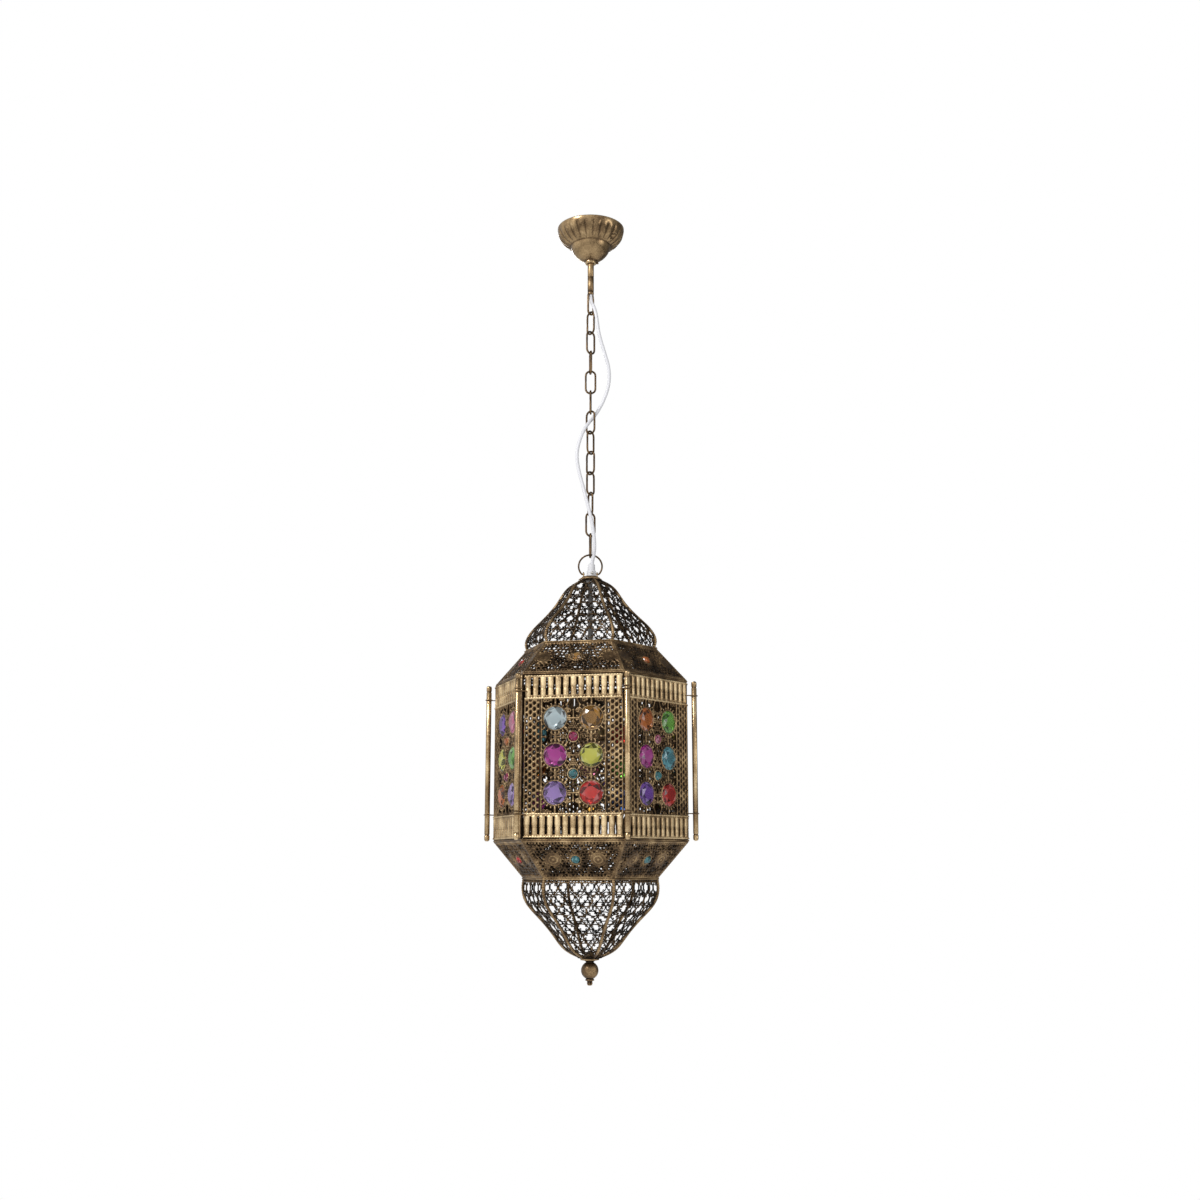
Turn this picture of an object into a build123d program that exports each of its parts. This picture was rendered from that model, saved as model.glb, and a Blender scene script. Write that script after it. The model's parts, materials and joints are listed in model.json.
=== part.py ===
from build123d import *
import os
from math import cos, pi, radians, sin, sqrt, tan

# Hanging filigree lantern with coloured gems, an electric pendant on a chain.
# The frame: origin at the centre of the ceiling rose's rim, +Z up, the front face towards -Y.
# Every size is in millimetres.  An azimuth is measured from -Y towards +X, in degrees.

# ---- driving dimensions ----
SIDES = 6                     # the lantern is a hexagon
SIDE_ANGLE = 360 / SIDES
FACE_NAMES = ["front", "front_right", "back_right", "back", "back_left", "front_left"]
CHAIN_AZIMUTH = 10.7          # the bail ring lies square to this azimuth

canopy_radius = 40.0
canopy_height = 42.0
canopy_wall = 1.1
canopy_ribs = 24
canopy_screw_radius = 32.0    # pitch radius of the two canopy screws
canopy_screw_azimuth = 67.7
ceiling_screw_radius = 17.0   # pitch radius of the crossbar's two holes
ceiling_screw_hole = 2.2
crossbar_width = 12.0
crossbar_thickness = 1.6
crossbar_top = -1.6
crossbar_end = 4.5            # past each canopy screw
crossbar_centre_hole = 4.5
flute_half_width = 0.7
screw_radius = 1.6
screw_hole = 1.8
screw_head_play = 0.3
screw_head_height = 1.8
screw_head_taper = 30
pocket_radius = 3.3           # each canopy screw sits in a pocket in the flutes
pocket_floor = -12.0
pocket_depth = 12.0
boss_top = -10.0
boss_bottom = -20.0
hub_radius = 6.5
hub_height = 2.5
stem_hole = 3.85
grub_screw_radius = 1.2
grub_screw_length = 3.2
stem_nut_radius = 5.9
stem_nut_height = 4.0
block_size = (17.0, 13.0, 9.0)
block_corner = 1.5
block_bottom = -20.0
block_hole_pitch = 8.0
block_hole_radius = 1.7
block_hole_depth = 4.0

stem_radius = 3.75
stem_bore = 2.5
stem_top = -27.0
stem_bottom = -84.0
eye_width = 10.8
eye_bottom = -110.1
eye_overlap = 3.0             # the eye's height inside the stem
bore_stop = 6.0               # the bore opens this far above the eye's foot

link_count = 12
link_length = 29.9
link_width = 13.8
link_wire = 2.4
link_gap = 0.3                # play between one link and the next
first_link_top = -105.0
EYE_YAW = 43
LINK_YAWS = [-47, 40, 98, 0, 88, -36, 50, -42, 45, -65, 30, -85]

ring_outer = 29.0
ring_wire = 2.0
ring_end_angle = 47.0         # each end of the open ring, from its lowest point
ring_pin_length = 3.3

cap_top = -430.0
cap_bottom = -433.0
cap_brim_radius = 11.5
cap_brim_height = 1.6
cap_crown_radius = 9.6
cap_bore = 3.9
ear_radius = 2.4
ear_middle = 7.8
ear_thickness = 1.6
grip_offset = 1.2
grip_radius = 5.3
grip_neck_radius = 4.2
grip_tail_radius = 3.8
grip_shoulder = -422.5
grip_top = -414.6
grip_bore = 2.4
grip_bore_bottom = -421.0
grip_nut_bottom = -438.0
grip_nut_radius = 7.5
grip_nut_height = 2.6
grip_screw_radius = 1.5
grip_screw_length = 1.6
grip_screw_height = -426.4
grip_screw_turn = 20
grip_screw_reach = 0.9        # past the grip's side
sleeve_radius = 2.75

holder_top = -565.0
holder_bottom = -620.0
holder_radius = 19.5
holder_bore = 13.4            # E27 screw shell
holder_floor = -588.0
holder_neck_radius = 8.0
holder_neck_height = 3.0
holder_shoulder = 14.0        # below the holder's top
holder_edge = (1.5, 3.0)      # the bevel at the shoulder
contact_height = 5.0
contact_play = 0.05
contact_pin_radius = 3.0
contact_pin_height = 3.0

dome_top = -433.0
dome_base = -516.0
skirt_radius = 76.0           # corner radius where a skirt meets the dome or the bowl
body_radius = 110.0           # corner radius of the six faces
body_top = -555.0
body_bottom = -728.0
bowl_top = -769.0
bowl_bottom = -855.0
finial_bottom = -884.0
rim_height = 2.0              # the flat rims between the storeys
skirt_wall = 1.8              # measured level
sheet = 1.4                   # dome and bowl castings
rib_half_width = 1.6
rib_depth = 2.6
rim_overhang = 1.5
rim_width = 7.5
narrow_disc = 13.5            # the disc that closes the dome's and the bowl's narrow end
disc_thickness = 1.0
disc_hole = 4.0

skirt_rim_overhang = 0.5
skirt_rim_width = 12.5
medallion_height = 0.9
gem_seat_width = 2.0
gem_facets = 12

panel_thickness = 2.0
panel_gap = 0.25              # half the mitred gap between two panels
door_gap = 0.5                # above and below the door
big_gem_radius = 12.5
small_gem_radius = 5.0
gem_column_pitch = 39.0
gem_row_pitch = 39.3
gem_play = 0.05
bezel_radius = 16.0
bezel_height = 1.5
small_bezel_width = 1.5
big_gem_facets = 16
gem_crown = 2.4
gem_crown_taper = 45
gallery_height = 25.0
baluster_count = 13
baluster_gap = 2.8
baluster_length = 16.0
baluster_pitch = 7.2
diamond_size = 5.5
strap_slot = (12.0, 4.4)
strap_slot_pitch = (92.0, 17.0)
strap_slot_rows = 7
moulding_height = 2.6
moulding_depth = 2.5

rod_radius = 3.0
rod_circle = 118.0
rod_length = 176.0
rod_end_flat = 0.3
clip_radius = 4.3
clip_height = 2.0
CLIP_HEIGHTS = (-571.0, -701.0)
clip_foot_inner = 7.0
clip_foot_width = 1.6
door_play = 0.3
door_clip_drop = 1.0
skirt_gem_radius = 4.75
skirt_gem_depth = 1.4
skirt_gem_girdle = 1.2
skirt_gem_crown = 1.4
skirt_gem_taper = 38

ball_radius = 9.5
ball_drop = 13.0              # the ball's middle, below the bowl
finial_plate = (10.6, 2.2)    # radius and height
finial_neck = (5.5, 6.0)
finial_collar = (4.6, 2.4)
finial_tip = (3.2, 8.0)
finial_tip_round = 2.6
finial_stud = (3.9, 6.0)
collar_overlap = 1.0

cord_radius = 2.0
BEND_SHARE = 0.45             # how much of each run a bend takes
# The free cord's route through the chain: to the right, away and up, seen along CHAIN_AZIMUTH.
CORD_ROUTE = [
    (0.0, 0.0, -84.0),
    (0.0, 0.0, -92.0),
    (4.8, -5.1, -103.0),
    (7.4, -7.6, -117.0),
    (9.6, -7.6, -137.0),
    (16.0, -6.0, -158.0),
    (22.5, -4.0, -180.0),
    (21.5, -1.0, -201.0),
    (13.5, 2.2, -221.0),
    (4.4, 3.2, -236.0),
    (-4.2, -3.6, -247.5),
    (-11.5, -7.0, -263.0),
    (-16.5, -7.5, -283.0),
    (-14.5, -7.0, -302.0),
    (-9.5, -8.0, -321.0),
    (-4.5, -9.4, -341.0),
    (0.6, -9.6, -361.0),
    (3.6, -8.0, -378.0),
    (5.0, -6.2, -394.0),
    (4.2, -3.8, -404.5),
    (1.8, 0.0, -413.5),
    (1.8, 0.0, -421.0),
]

# ---- worked out from the driving dimensions ----
TO_APOTHEM = cos(radians(SIDE_ANGLE / 2))
body_apothem = body_radius * TO_APOTHEM
body_middle = (body_top + body_bottom) / 2
link_pitch = link_length - 2 * link_wire - link_gap
rod_middle = body_middle

os.makedirs("parts", exist_ok=True)


def save(builder, name):
    """Label a finished piece and write it as one STEP file."""
    builder.part.label = name
    export_step(builder.part, f"parts/{name}.step")


def outward(azimuth):
    """The level direction at an azimuth."""
    return Vector(sin(radians(azimuth)), -cos(radians(azimuth)), 0)


def rightward(azimuth):
    """The level direction to the right of somebody who looks at the lantern from an azimuth."""
    return Vector(cos(radians(azimuth)), sin(radians(azimuth)), 0)


def upright_plane(azimuth):
    """A vertical plane through the axis: x runs outward, y up."""
    return Plane(origin=(0, 0, 0), x_dir=outward(azimuth), z_dir=-rightward(azimuth))


def face_plane(azimuth, apothem, height):
    """A vertical plane square to an azimuth: x runs to the right, y up, z outward."""
    centre = outward(azimuth) * apothem + Vector(0, 0, height)
    return Plane(origin=centre, x_dir=rightward(azimuth), z_dir=outward(azimuth))


def yaw_plane(yaw, height):
    """A vertical plane on the chain's axis, turned by yaw from the bail ring's plane."""
    azimuth = CHAIN_AZIMUTH + yaw
    return Plane(origin=(0, 0, height), x_dir=rightward(azimuth), z_dir=outward(azimuth))


def offset_points(points, distance):
    """Points moved square to the curve that they lie on."""
    moved = []
    last = len(points) - 1
    for i, (x, y) in enumerate(points):
        before = points[max(i - 1, 0)]
        after = points[min(i + 1, last)]
        dx, dy = after[0] - before[0], after[1] - before[1]
        length = sqrt(dx * dx + dy * dy)
        moved.append((x + distance * dy / length, y - distance * dx / length))
    return moved


def wedge(azimuth, margin, reach):
    """In a BuildSketch: a sixth of the hexagon, short of each corner line by margin."""
    tip = outward(azimuth) * (margin / sin(radians(SIDE_ANGLE / 2)))
    sides = [outward(azimuth + turn) * reach for turn in (-SIDE_ANGLE / 2, SIDE_ANGLE / 2)]
    corners = [tip] + [tip + side for side in sides]
    Polygon(*[(p.X, p.Y) for p in corners], align=None)


# ======== ceiling rose ========
flange_outer = [(canopy_radius, -2), (35.5, -13.5), (24, -22)]
flange_inner = [(canopy_radius - canopy_wall, -2), (34.6, -12.8), (23.1, -21)]
cup_outer = [(24, -22), (18.5, -33), (6.5, -41)]
cup_inner = [(23.1, -21), (17.7, -31.8), (6.1, -39.8)]
flute_crest = [(39.5, -2.5), (36.0, -13.9), (24.2, -22.4)]
flute_foot = [(39.5, -2.5), (35.0, -13.1), (24.2, -22.4)]
hub_bottom = -canopy_height - hub_height

with BuildPart() as canopy:
    with BuildSketch(Plane.XZ):
        with BuildLine():
            Line((canopy_radius, 0), flange_outer[0])
            ThreePointArc(*flange_outer)
            ThreePointArc(*cup_outer)
            Polyline(cup_outer[-1], (hub_radius, hub_bottom), (stem_hole, hub_bottom))
            Polyline((stem_hole, hub_bottom), (stem_hole, cup_inner[-1][1]), cup_inner[-1])
            ThreePointArc(*cup_inner)
            ThreePointArc(*flange_inner)
            Polyline(flange_inner[0], (flange_inner[0][0], 0), (canopy_radius, 0))
        make_face()
    revolve(axis=Axis.Z)
    with BuildSketch(Plane.XY.offset(boss_bottom)):
        with PolarLocations(canopy_screw_radius, 2, start_angle=canopy_screw_azimuth - 90):
            Circle(pocket_radius + canopy_wall)
    extrude(amount=boss_top - boss_bottom)
    with BuildSketch(Plane.XZ):
        with BuildLine():
            Polyline((0, 0), (canopy_radius, 0), flange_outer[0])
            ThreePointArc(*flange_outer)
            ThreePointArc(*cup_outer)
            Polyline(cup_outer[-1], (hub_radius, hub_bottom), (0, hub_bottom), (0, 0))
        make_face()
    revolve(axis=Axis.Z, mode=Mode.INTERSECT)
    with BuildSketch(*[upright_plane((i + 0.5) * 360 / canopy_ribs) for i in range(canopy_ribs)]):
        with BuildLine():
            ThreePointArc(*flute_crest)
            ThreePointArc(*flute_foot)
        make_face()
    extrude(amount=flute_half_width, both=True)
    with BuildSketch(Plane.XY.offset(pocket_floor)):
        with PolarLocations(canopy_screw_radius, 2, start_angle=canopy_screw_azimuth - 90):
            Circle(pocket_radius)
    extrude(amount=-pocket_depth, mode=Mode.SUBTRACT)
    with BuildSketch(Plane.XY.offset(pocket_floor)):
        with PolarLocations(canopy_screw_radius, 2, start_angle=canopy_screw_azimuth - 90):
            Circle(screw_hole)
    extrude(amount=boss_top - pocket_floor + canopy_wall, mode=Mode.SUBTRACT)
save(canopy, "canopy")

with BuildPart() as crossbar:
    with BuildSketch(Plane.XY.offset(crossbar_top)):
        crossbar_length = 2 * (canopy_screw_radius + crossbar_end)
        Rectangle(crossbar_length, crossbar_width, rotation=canopy_screw_azimuth - 90)
        Circle(crossbar_centre_hole, mode=Mode.SUBTRACT)
        with PolarLocations(canopy_screw_radius, 2, start_angle=canopy_screw_azimuth - 90):
            Circle(screw_radius, mode=Mode.SUBTRACT)
        with PolarLocations(ceiling_screw_radius, 2, start_angle=canopy_screw_azimuth - 90):
            Circle(ceiling_screw_hole, mode=Mode.SUBTRACT)
    extrude(amount=-crossbar_thickness)
save(crossbar, "crossbar")

with BuildPart() as canopy_screws:
    with BuildSketch(Plane.XY.offset(pocket_floor)):
        with PolarLocations(canopy_screw_radius, 2, start_angle=canopy_screw_azimuth - 90):
            Circle(pocket_radius - screw_head_play)
    extrude(amount=-screw_head_height, taper=screw_head_taper)
    with BuildSketch(Plane.XY.offset(pocket_floor)):
        with PolarLocations(canopy_screw_radius, 2, start_angle=canopy_screw_azimuth - 90):
            Circle(screw_radius)
    extrude(amount=crossbar_top - pocket_floor)
    # the grub screw in the hub, which holds the stem
    with BuildSketch(face_plane(CHAIN_AZIMUTH + 90, hub_radius, (hub_bottom - canopy_height) / 2)):
        Circle(grub_screw_radius)
    extrude(amount=grub_screw_length)
save(canopy_screws, "canopy_screws")

# ======== hook: a tube stem with an eye, and the lead inside it ========
eye_top = stem_bottom + eye_overlap
eye_length = eye_top - eye_bottom
with BuildPart() as hook:
    with BuildSketch(Plane.XY.offset(stem_bottom)):
        Circle(stem_radius)
    extrude(amount=stem_top - stem_bottom)
    eye_middle = (eye_top + eye_bottom) / 2
    with BuildSketch(yaw_plane(EYE_YAW, eye_middle)):
        SlotOverall(eye_length, eye_width, rotation=90)
        SlotOverall(eye_length - 2 * link_wire, eye_width - 2 * link_wire, rotation=90, mode=Mode.SUBTRACT)
    extrude(amount=link_wire / 2, both=True)
    with BuildSketch(Plane.XY.offset(eye_bottom + bore_stop)):
        Circle(stem_bore)
    extrude(amount=stem_top - eye_bottom - bore_stop, mode=Mode.SUBTRACT)
save(hook, "hook")

with BuildPart() as stem_nut:
    with BuildSketch(Plane.XY.offset(cup_inner[-1][1])):
        RegularPolygon(stem_nut_radius, 6)
        Circle(stem_radius, mode=Mode.SUBTRACT)
    extrude(amount=stem_nut_height)
save(stem_nut, "stem_nut")

with BuildPart() as terminal_block:
    with BuildSketch(Plane.XY.offset(block_bottom)):
        RectangleRounded(block_size[0], block_size[1], block_corner)
    extrude(amount=block_size[2])
    with BuildSketch(Plane.XY.offset(block_bottom + block_size[2])):
        with GridLocations(block_hole_pitch, 0, 2, 1):
            Circle(block_hole_radius)
    extrude(amount=-block_hole_depth, mode=Mode.SUBTRACT)
save(terminal_block, "terminal_block")

with BuildPart() as canopy_lead:
    with BuildSketch(Plane.XY.offset(stem_bottom)):
        Circle(cord_radius)
    extrude(amount=block_bottom - stem_bottom)
save(canopy_lead, "canopy_lead")

# ======== chain ========


def link_middle(index):
    """The height of a link's centre, counted from 0 at the top."""
    return first_link_top - index * link_pitch - link_length / 2


half_straight = (link_length - link_width) / 2
wire_radius = link_wire / 2
half_width = (link_width - link_wire) / 2
for index in range(link_count):
    link_plane = yaw_plane(LINK_YAWS[index], link_middle(index))
    with BuildPart() as link:
        with BuildLine(link_plane) as loop:
            Line((half_width, -half_straight), (half_width, half_straight))
            ThreePointArc(
                (half_width, half_straight), (0, half_straight + half_width), (-half_width, half_straight)
            )
            Line((-half_width, half_straight), (-half_width, -half_straight))
            ThreePointArc(
                (-half_width, -half_straight), (0, -half_straight - half_width), (half_width, -half_straight)
            )
        start = link_plane.from_local_coords((half_width, -half_straight))
        with BuildSketch(Plane(origin=start, z_dir=(0, 0, 1))):
            Circle(wire_radius)
        sweep(path=loop.wire())
    save(link, f"link_{index + 1:02d}")

# ======== open bail ring ========
last_link_bottom = first_link_top - (link_count - 1) * link_pitch - link_length
ring_middle = last_link_bottom + link_wire + link_gap + ring_wire - ring_outer / 2
ring_radius = (ring_outer - ring_wire) / 2
ring_end_x = ring_radius * sin(radians(ring_end_angle))
pin_height = ring_middle - ring_radius * cos(radians(ring_end_angle))
ring_plane = yaw_plane(0, ring_middle)

with BuildPart() as bail_ring:
    with BuildLine(ring_plane) as ring_path:
        CenterArc((0, 0), ring_radius, ring_end_angle - 90, 360 - 2 * ring_end_angle)
    with BuildSketch(Plane(origin=ring_path.line @ 0, z_dir=ring_path.line % 0)):
        Circle(ring_wire / 2)
    sweep(path=ring_path.wire())
    for side in (-1, 1):
        corner = rightward(CHAIN_AZIMUTH) * (side * ring_end_x) + Vector(0, 0, pin_height)
        with Locations(corner):
            Sphere(ring_wire / 2)
        with BuildSketch(Plane(origin=corner, z_dir=rightward(CHAIN_AZIMUTH) * -side)):
            Circle(ring_wire / 2)
        extrude(amount=ring_pin_length)
save(bail_ring, "bail_ring")

# ======== cap, cord grip and nut ========
ear_height = pin_height - cap_top
with BuildPart() as cap:
    with BuildSketch(Plane.XY.offset(cap_bottom)):
        Circle(cap_brim_radius)
    extrude(amount=cap_brim_height)
    with BuildSketch(Plane.XY.offset(cap_bottom + cap_brim_height)):
        Circle(cap_crown_radius)
    extrude(amount=cap_top - cap_bottom - cap_brim_height)
    for side in (-1, 1):
        with BuildSketch(face_plane(CHAIN_AZIMUTH + 90, side * ear_middle - ear_thickness / 2, pin_height)):
            Circle(ear_radius)
            with Locations((0, -ear_height / 2)):
                Rectangle(2 * ear_radius, ear_height)
        extrude(amount=ear_thickness)
        with BuildSketch(face_plane(CHAIN_AZIMUTH + 90, side * ear_middle - ear_thickness, pin_height)):
            Circle(ring_wire / 2 + link_gap)
        extrude(amount=2 * ear_thickness, mode=Mode.SUBTRACT)
    with BuildSketch(Plane.XY.offset(cap_bottom)):
        Circle(cap_bore)
    extrude(amount=cap_top - cap_bottom, mode=Mode.SUBTRACT)
save(cap, "cap")

grip_centre = rightward(CHAIN_AZIMUTH) * grip_offset
bore_centre = rightward(CHAIN_AZIMUTH) * CORD_ROUTE[-1][0]
with BuildPart() as cord_grip:
    with BuildSketch(Plane(origin=(grip_centre.X, grip_centre.Y, cap_top))):
        Circle(grip_radius)
    extrude(amount=grip_shoulder - cap_top)
    with BuildSketch(Plane(origin=(grip_centre.X, grip_centre.Y, grip_shoulder))):
        Circle(grip_neck_radius)
    extrude(amount=grip_top - grip_shoulder)
    with BuildSketch(Plane.XY.offset(cap_top)):
        Circle(grip_tail_radius)
    extrude(amount=grip_nut_bottom - cap_top)
    with BuildSketch(Plane(origin=(bore_centre.X, bore_centre.Y, grip_top))):
        Circle(grip_bore)
    extrude(amount=grip_bore_bottom - grip_top, mode=Mode.SUBTRACT)
save(cord_grip, "cord_grip")

with BuildPart() as grip_screw:
    azimuth = CHAIN_AZIMUTH + grip_screw_turn
    with BuildSketch(face_plane(azimuth, grip_radius + grip_screw_reach, grip_screw_height)):
        Circle(grip_screw_radius)
    extrude(amount=grip_screw_length)
save(grip_screw, "grip_screw")

with BuildPart() as grip_nut:
    with BuildSketch(Plane.XY.offset(dome_top - disc_thickness)):
        RegularPolygon(grip_nut_radius, 6)
        Circle(cap_bore, mode=Mode.SUBTRACT)
    extrude(amount=-grip_nut_height)
save(grip_nut, "grip_nut")

# ======== inner cord and lamp holder ========
with BuildPart() as sleeved_cord:
    with BuildSketch(Plane.XY.offset(holder_top)):
        Circle(sleeve_radius)
    extrude(amount=grip_nut_bottom - holder_top)
save(sleeved_cord, "sleeved_cord")

bevel_width, bevel_height = holder_edge
shoulder = holder_top - holder_shoulder
holder_profile = [
    (0, holder_top),
    (holder_neck_radius, holder_top),
    (holder_neck_radius + bevel_width, holder_top - holder_neck_height),
    (holder_radius - bevel_width, shoulder),
    (holder_radius, shoulder - bevel_height),
    (holder_radius, holder_bottom),
    (holder_bore, holder_bottom),
    (holder_bore, holder_floor),
    (0, holder_floor),
]
with BuildPart() as lamp_holder:
    with BuildSketch(Plane.XZ):
        with BuildLine():
            Polyline(*holder_profile, close=True)
        make_face()
    revolve(axis=Axis.Z)
save(lamp_holder, "lamp_holder")

with BuildPart() as holder_contact:
    with BuildSketch(Plane.XY.offset(holder_floor)):
        Circle(holder_bore - contact_play)
    extrude(amount=-contact_height)
    with BuildSketch(Plane.XY.offset(holder_floor - contact_height)):
        Circle(contact_pin_radius)
    extrude(amount=-contact_pin_height)
save(holder_contact, "holder_contact")

# ======== ribs and castings of the dome and the bowl ========
# corner radius against the distance from the wide end
DOME_CURVE = [(74, 0), (76.5, 9), (72, 21), (58, 36), (38.5, 58), (27.6, 73), (11, 83)]
BOWL_CURVE = [(76, 0), (77.3, 11), (75, 23), (60, 42), (41.3, 63), (29.5, 77), (12.5, 86)]
# the round holes of each casting: distance from the wide end, how many, radius
PIERCINGS = [(11, 5, 4.6), (24, 4, 4.4), (36, 3, 3.8), (47, 2, 3.4), (58, 1, 3.6)]
PIERCING_PITCH = 12.0


def storey(curve, wide_end, narrow_end, direction, name):
    """The ribbed frame and six castings of the dome (direction 1) or the bowl (direction -1)."""
    corner = [(radius, wide_end + direction * rise) for radius, rise in curve]
    flat = [(radius * TO_APOTHEM, z) for radius, z in corner]
    inner_rib = offset_points(corner, -direction * rib_depth)
    inner_flat = offset_points(flat, -direction * sheet)
    with BuildPart() as frame:
        ribs = [upright_plane((i + 0.5) * SIDE_ANGLE) for i in range(SIDES)]
        with BuildSketch(*ribs):
            with BuildLine():
                Spline(*corner)
                Spline(*inner_rib)
                Line(corner[0], inner_rib[0])
                Line(corner[-1], inner_rib[-1])
            make_face()
        extrude(amount=rib_half_width, both=True)
        with BuildSketch(Plane.XY.offset(wide_end)):
            RegularPolygon(skirt_radius + rim_overhang, SIDES)
            RegularPolygon(skirt_radius + rim_overhang - rim_width, SIDES, mode=Mode.SUBTRACT)
        extrude(amount=direction * rim_height)
        with BuildSketch(Plane.XY.offset(narrow_end)):
            Circle(narrow_disc)
            Circle(disc_hole, mode=Mode.SUBTRACT)
        extrude(amount=-direction * disc_thickness)
    save(frame, f"{name}_frame")
    low, high = sorted((wide_end + direction * rim_height, narrow_end - direction * disc_thickness))
    for i, face in enumerate(FACE_NAMES):
        azimuth = i * SIDE_ANGLE
        with BuildPart() as petal:
            with BuildSketch(upright_plane(azimuth)):
                with BuildLine():
                    Spline(*flat)
                    Spline(*inner_flat)
                    Line(flat[0], inner_flat[0])
                    Line(flat[-1], inner_flat[-1])
                make_face()
            extrude(amount=skirt_radius, both=True)
            with BuildSketch(Plane.XY.offset(low)):
                wedge(azimuth, rib_half_width, 2 * skirt_radius)
            extrude(amount=high - low, mode=Mode.INTERSECT)
            with BuildSketch(face_plane(azimuth, 0, wide_end)):
                for rise, count, size in PIERCINGS:
                    with Locations((0, direction * rise)):
                        with GridLocations(PIERCING_PITCH, 0, count, 1):
                            Circle(size)
            extrude(amount=body_radius, mode=Mode.SUBTRACT)
        save(petal, f"{name}_{face}")


storey(DOME_CURVE, dome_base, dome_top, 1, "dome")
storey(BOWL_CURVE, bowl_top, bowl_bottom, -1, "bowl")

# ======== sloping skirts ========


def skirt_plane(azimuth, narrow, wide):
    """A sloping plane on the middle of a skirt's face, with z outward."""
    middle = outward(azimuth) * ((skirt_radius + body_radius) / 2 * TO_APOTHEM)
    middle += Vector(0, 0, (narrow + wide) / 2)
    run = (body_radius - skirt_radius) * TO_APOTHEM
    normal = outward(azimuth) * abs(narrow - wide) + Vector(0, 0, run if narrow > wide else -run)
    return Plane(origin=middle, x_dir=rightward(azimuth), z_dir=normal)


def skirt(narrow, wide, rim_end, medallion_offset, medallion_radius, name):
    """Six sloping sides on a flat rim, as one casting."""
    planes = [skirt_plane(i * SIDE_ANGLE, narrow, wide) for i in range(SIDES)]
    with BuildPart() as casting:
        with BuildSketch(Plane.XY.offset(narrow)):
            RegularPolygon(skirt_radius, SIDES)
        with BuildSketch(Plane.XY.offset(wide)):
            RegularPolygon(body_radius, SIDES)
        loft()
        with BuildSketch(Plane.XY.offset(narrow)):
            RegularPolygon(skirt_radius - skirt_wall, SIDES)
        with BuildSketch(Plane.XY.offset(wide)):
            RegularPolygon(body_radius - skirt_wall, SIDES)
        loft(mode=Mode.SUBTRACT)
        with BuildSketch(Plane.XY.offset(wide)):
            RegularPolygon(body_radius + skirt_rim_overhang, SIDES)
            RegularPolygon(body_radius + skirt_rim_overhang - skirt_rim_width, SIDES, mode=Mode.SUBTRACT)
        extrude(amount=rim_end - wide)
        with BuildSketch(*planes):
            with Locations((-medallion_offset, 0), (medallion_offset, 0)):
                Circle(medallion_radius)
            Circle(skirt_gem_radius + gem_seat_width)
        extrude(amount=medallion_height)
        with BuildSketch(*planes):
            Circle(skirt_gem_radius + gem_play)
        extrude(amount=2 * skirt_wall, both=True, mode=Mode.SUBTRACT)
    save(casting, name)
    return planes


upper_planes = skirt(dome_base, body_top + rim_height, body_top, 34, 8, "upper_skirt")
lower_planes = skirt(bowl_top, body_bottom - rim_height, body_bottom, 22, 9, "lower_skirt")

with BuildPart() as skirt_gems:
    with BuildSketch(*[plane.offset(-skirt_gem_depth) for plane in upper_planes + lower_planes]):
        RegularPolygon(skirt_gem_radius, gem_facets)
    extrude(amount=skirt_gem_depth + skirt_gem_girdle)
    with BuildSketch(*[plane.offset(skirt_gem_girdle) for plane in upper_planes + lower_planes]):
        RegularPolygon(skirt_gem_radius, gem_facets)
    extrude(amount=skirt_gem_crown, taper=skirt_gem_taper)
save(skirt_gems, "skirt_gems")

# ======== corner rods and their wire clips ========
rod_ends = (rod_middle - rod_length / 2, rod_middle + rod_length / 2)
with BuildPart() as corner_rods:
    with BuildSketch(Plane.XY.offset(rod_ends[0])):
        with PolarLocations(rod_circle, SIDES):
            Circle(rod_radius)
    extrude(amount=rod_length)
    fillet(corner_rods.edges().filter_by(GeomType.CIRCLE), radius=rod_radius - rod_end_flat)
save(corner_rods, "corner_rods")



def clip_outline(azimuth, side, hole, open_back=False):
    """In a BuildSketch: a wire loop round the rod on one side (-1 left, 1 right) of a face."""
    rod = outward(azimuth + side * SIDE_ANGLE / 2) * rod_circle
    stand_off = rod_circle * TO_APOTHEM - body_apothem
    foot_depth = stand_off + 1  # the foot ends inside the face
    along = rightward(azimuth) * -side
    arm = rod + along * ((clip_foot_inner + clip_foot_width + hole) / 2)
    foot = rod + along * (clip_foot_inner + clip_foot_width / 2) - outward(azimuth) * (foot_depth / 2 - 1)
    with Locations((rod.X, rod.Y)):
        Circle(clip_radius)
    with Locations((arm.X, arm.Y)):
        Rectangle(clip_foot_inner + clip_foot_width - hole, clip_foot_width, rotation=azimuth)
    with Locations((foot.X, foot.Y)):
        Rectangle(clip_foot_width, foot_depth, rotation=azimuth)
    with Locations((rod.X, rod.Y)):
        Circle(hole, mode=Mode.SUBTRACT)
    if open_back:
        behind = rod - outward(azimuth) * (clip_radius / 2 + door_play)
        with Locations((behind.X, behind.Y)):
            Rectangle(2 * clip_radius, clip_radius, rotation=azimuth, mode=Mode.SUBTRACT)
        with Locations((foot.X, foot.Y)):
            Rectangle(clip_foot_width, foot_depth, rotation=azimuth)


with BuildPart() as rod_clips:
    for height in CLIP_HEIGHTS:
        for azimuth, side in ((60, 1), (120, 1), (180, 1), (240, 1), (300, 1), (60, -1)):
            with BuildSketch(Plane.XY.offset(height)):
                clip_outline(azimuth, side, rod_radius)
            extrude(amount=clip_height)
save(rod_clips, "rod_clips")

# ======== gem panels: five fixed ones and the front door ========


def moulding_levels(half_height):
    """The middles of a panel's four level mouldings."""
    edge = half_height - moulding_height / 2
    return [edge, half_height - gallery_height, gallery_height - half_height, -edge]


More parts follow.
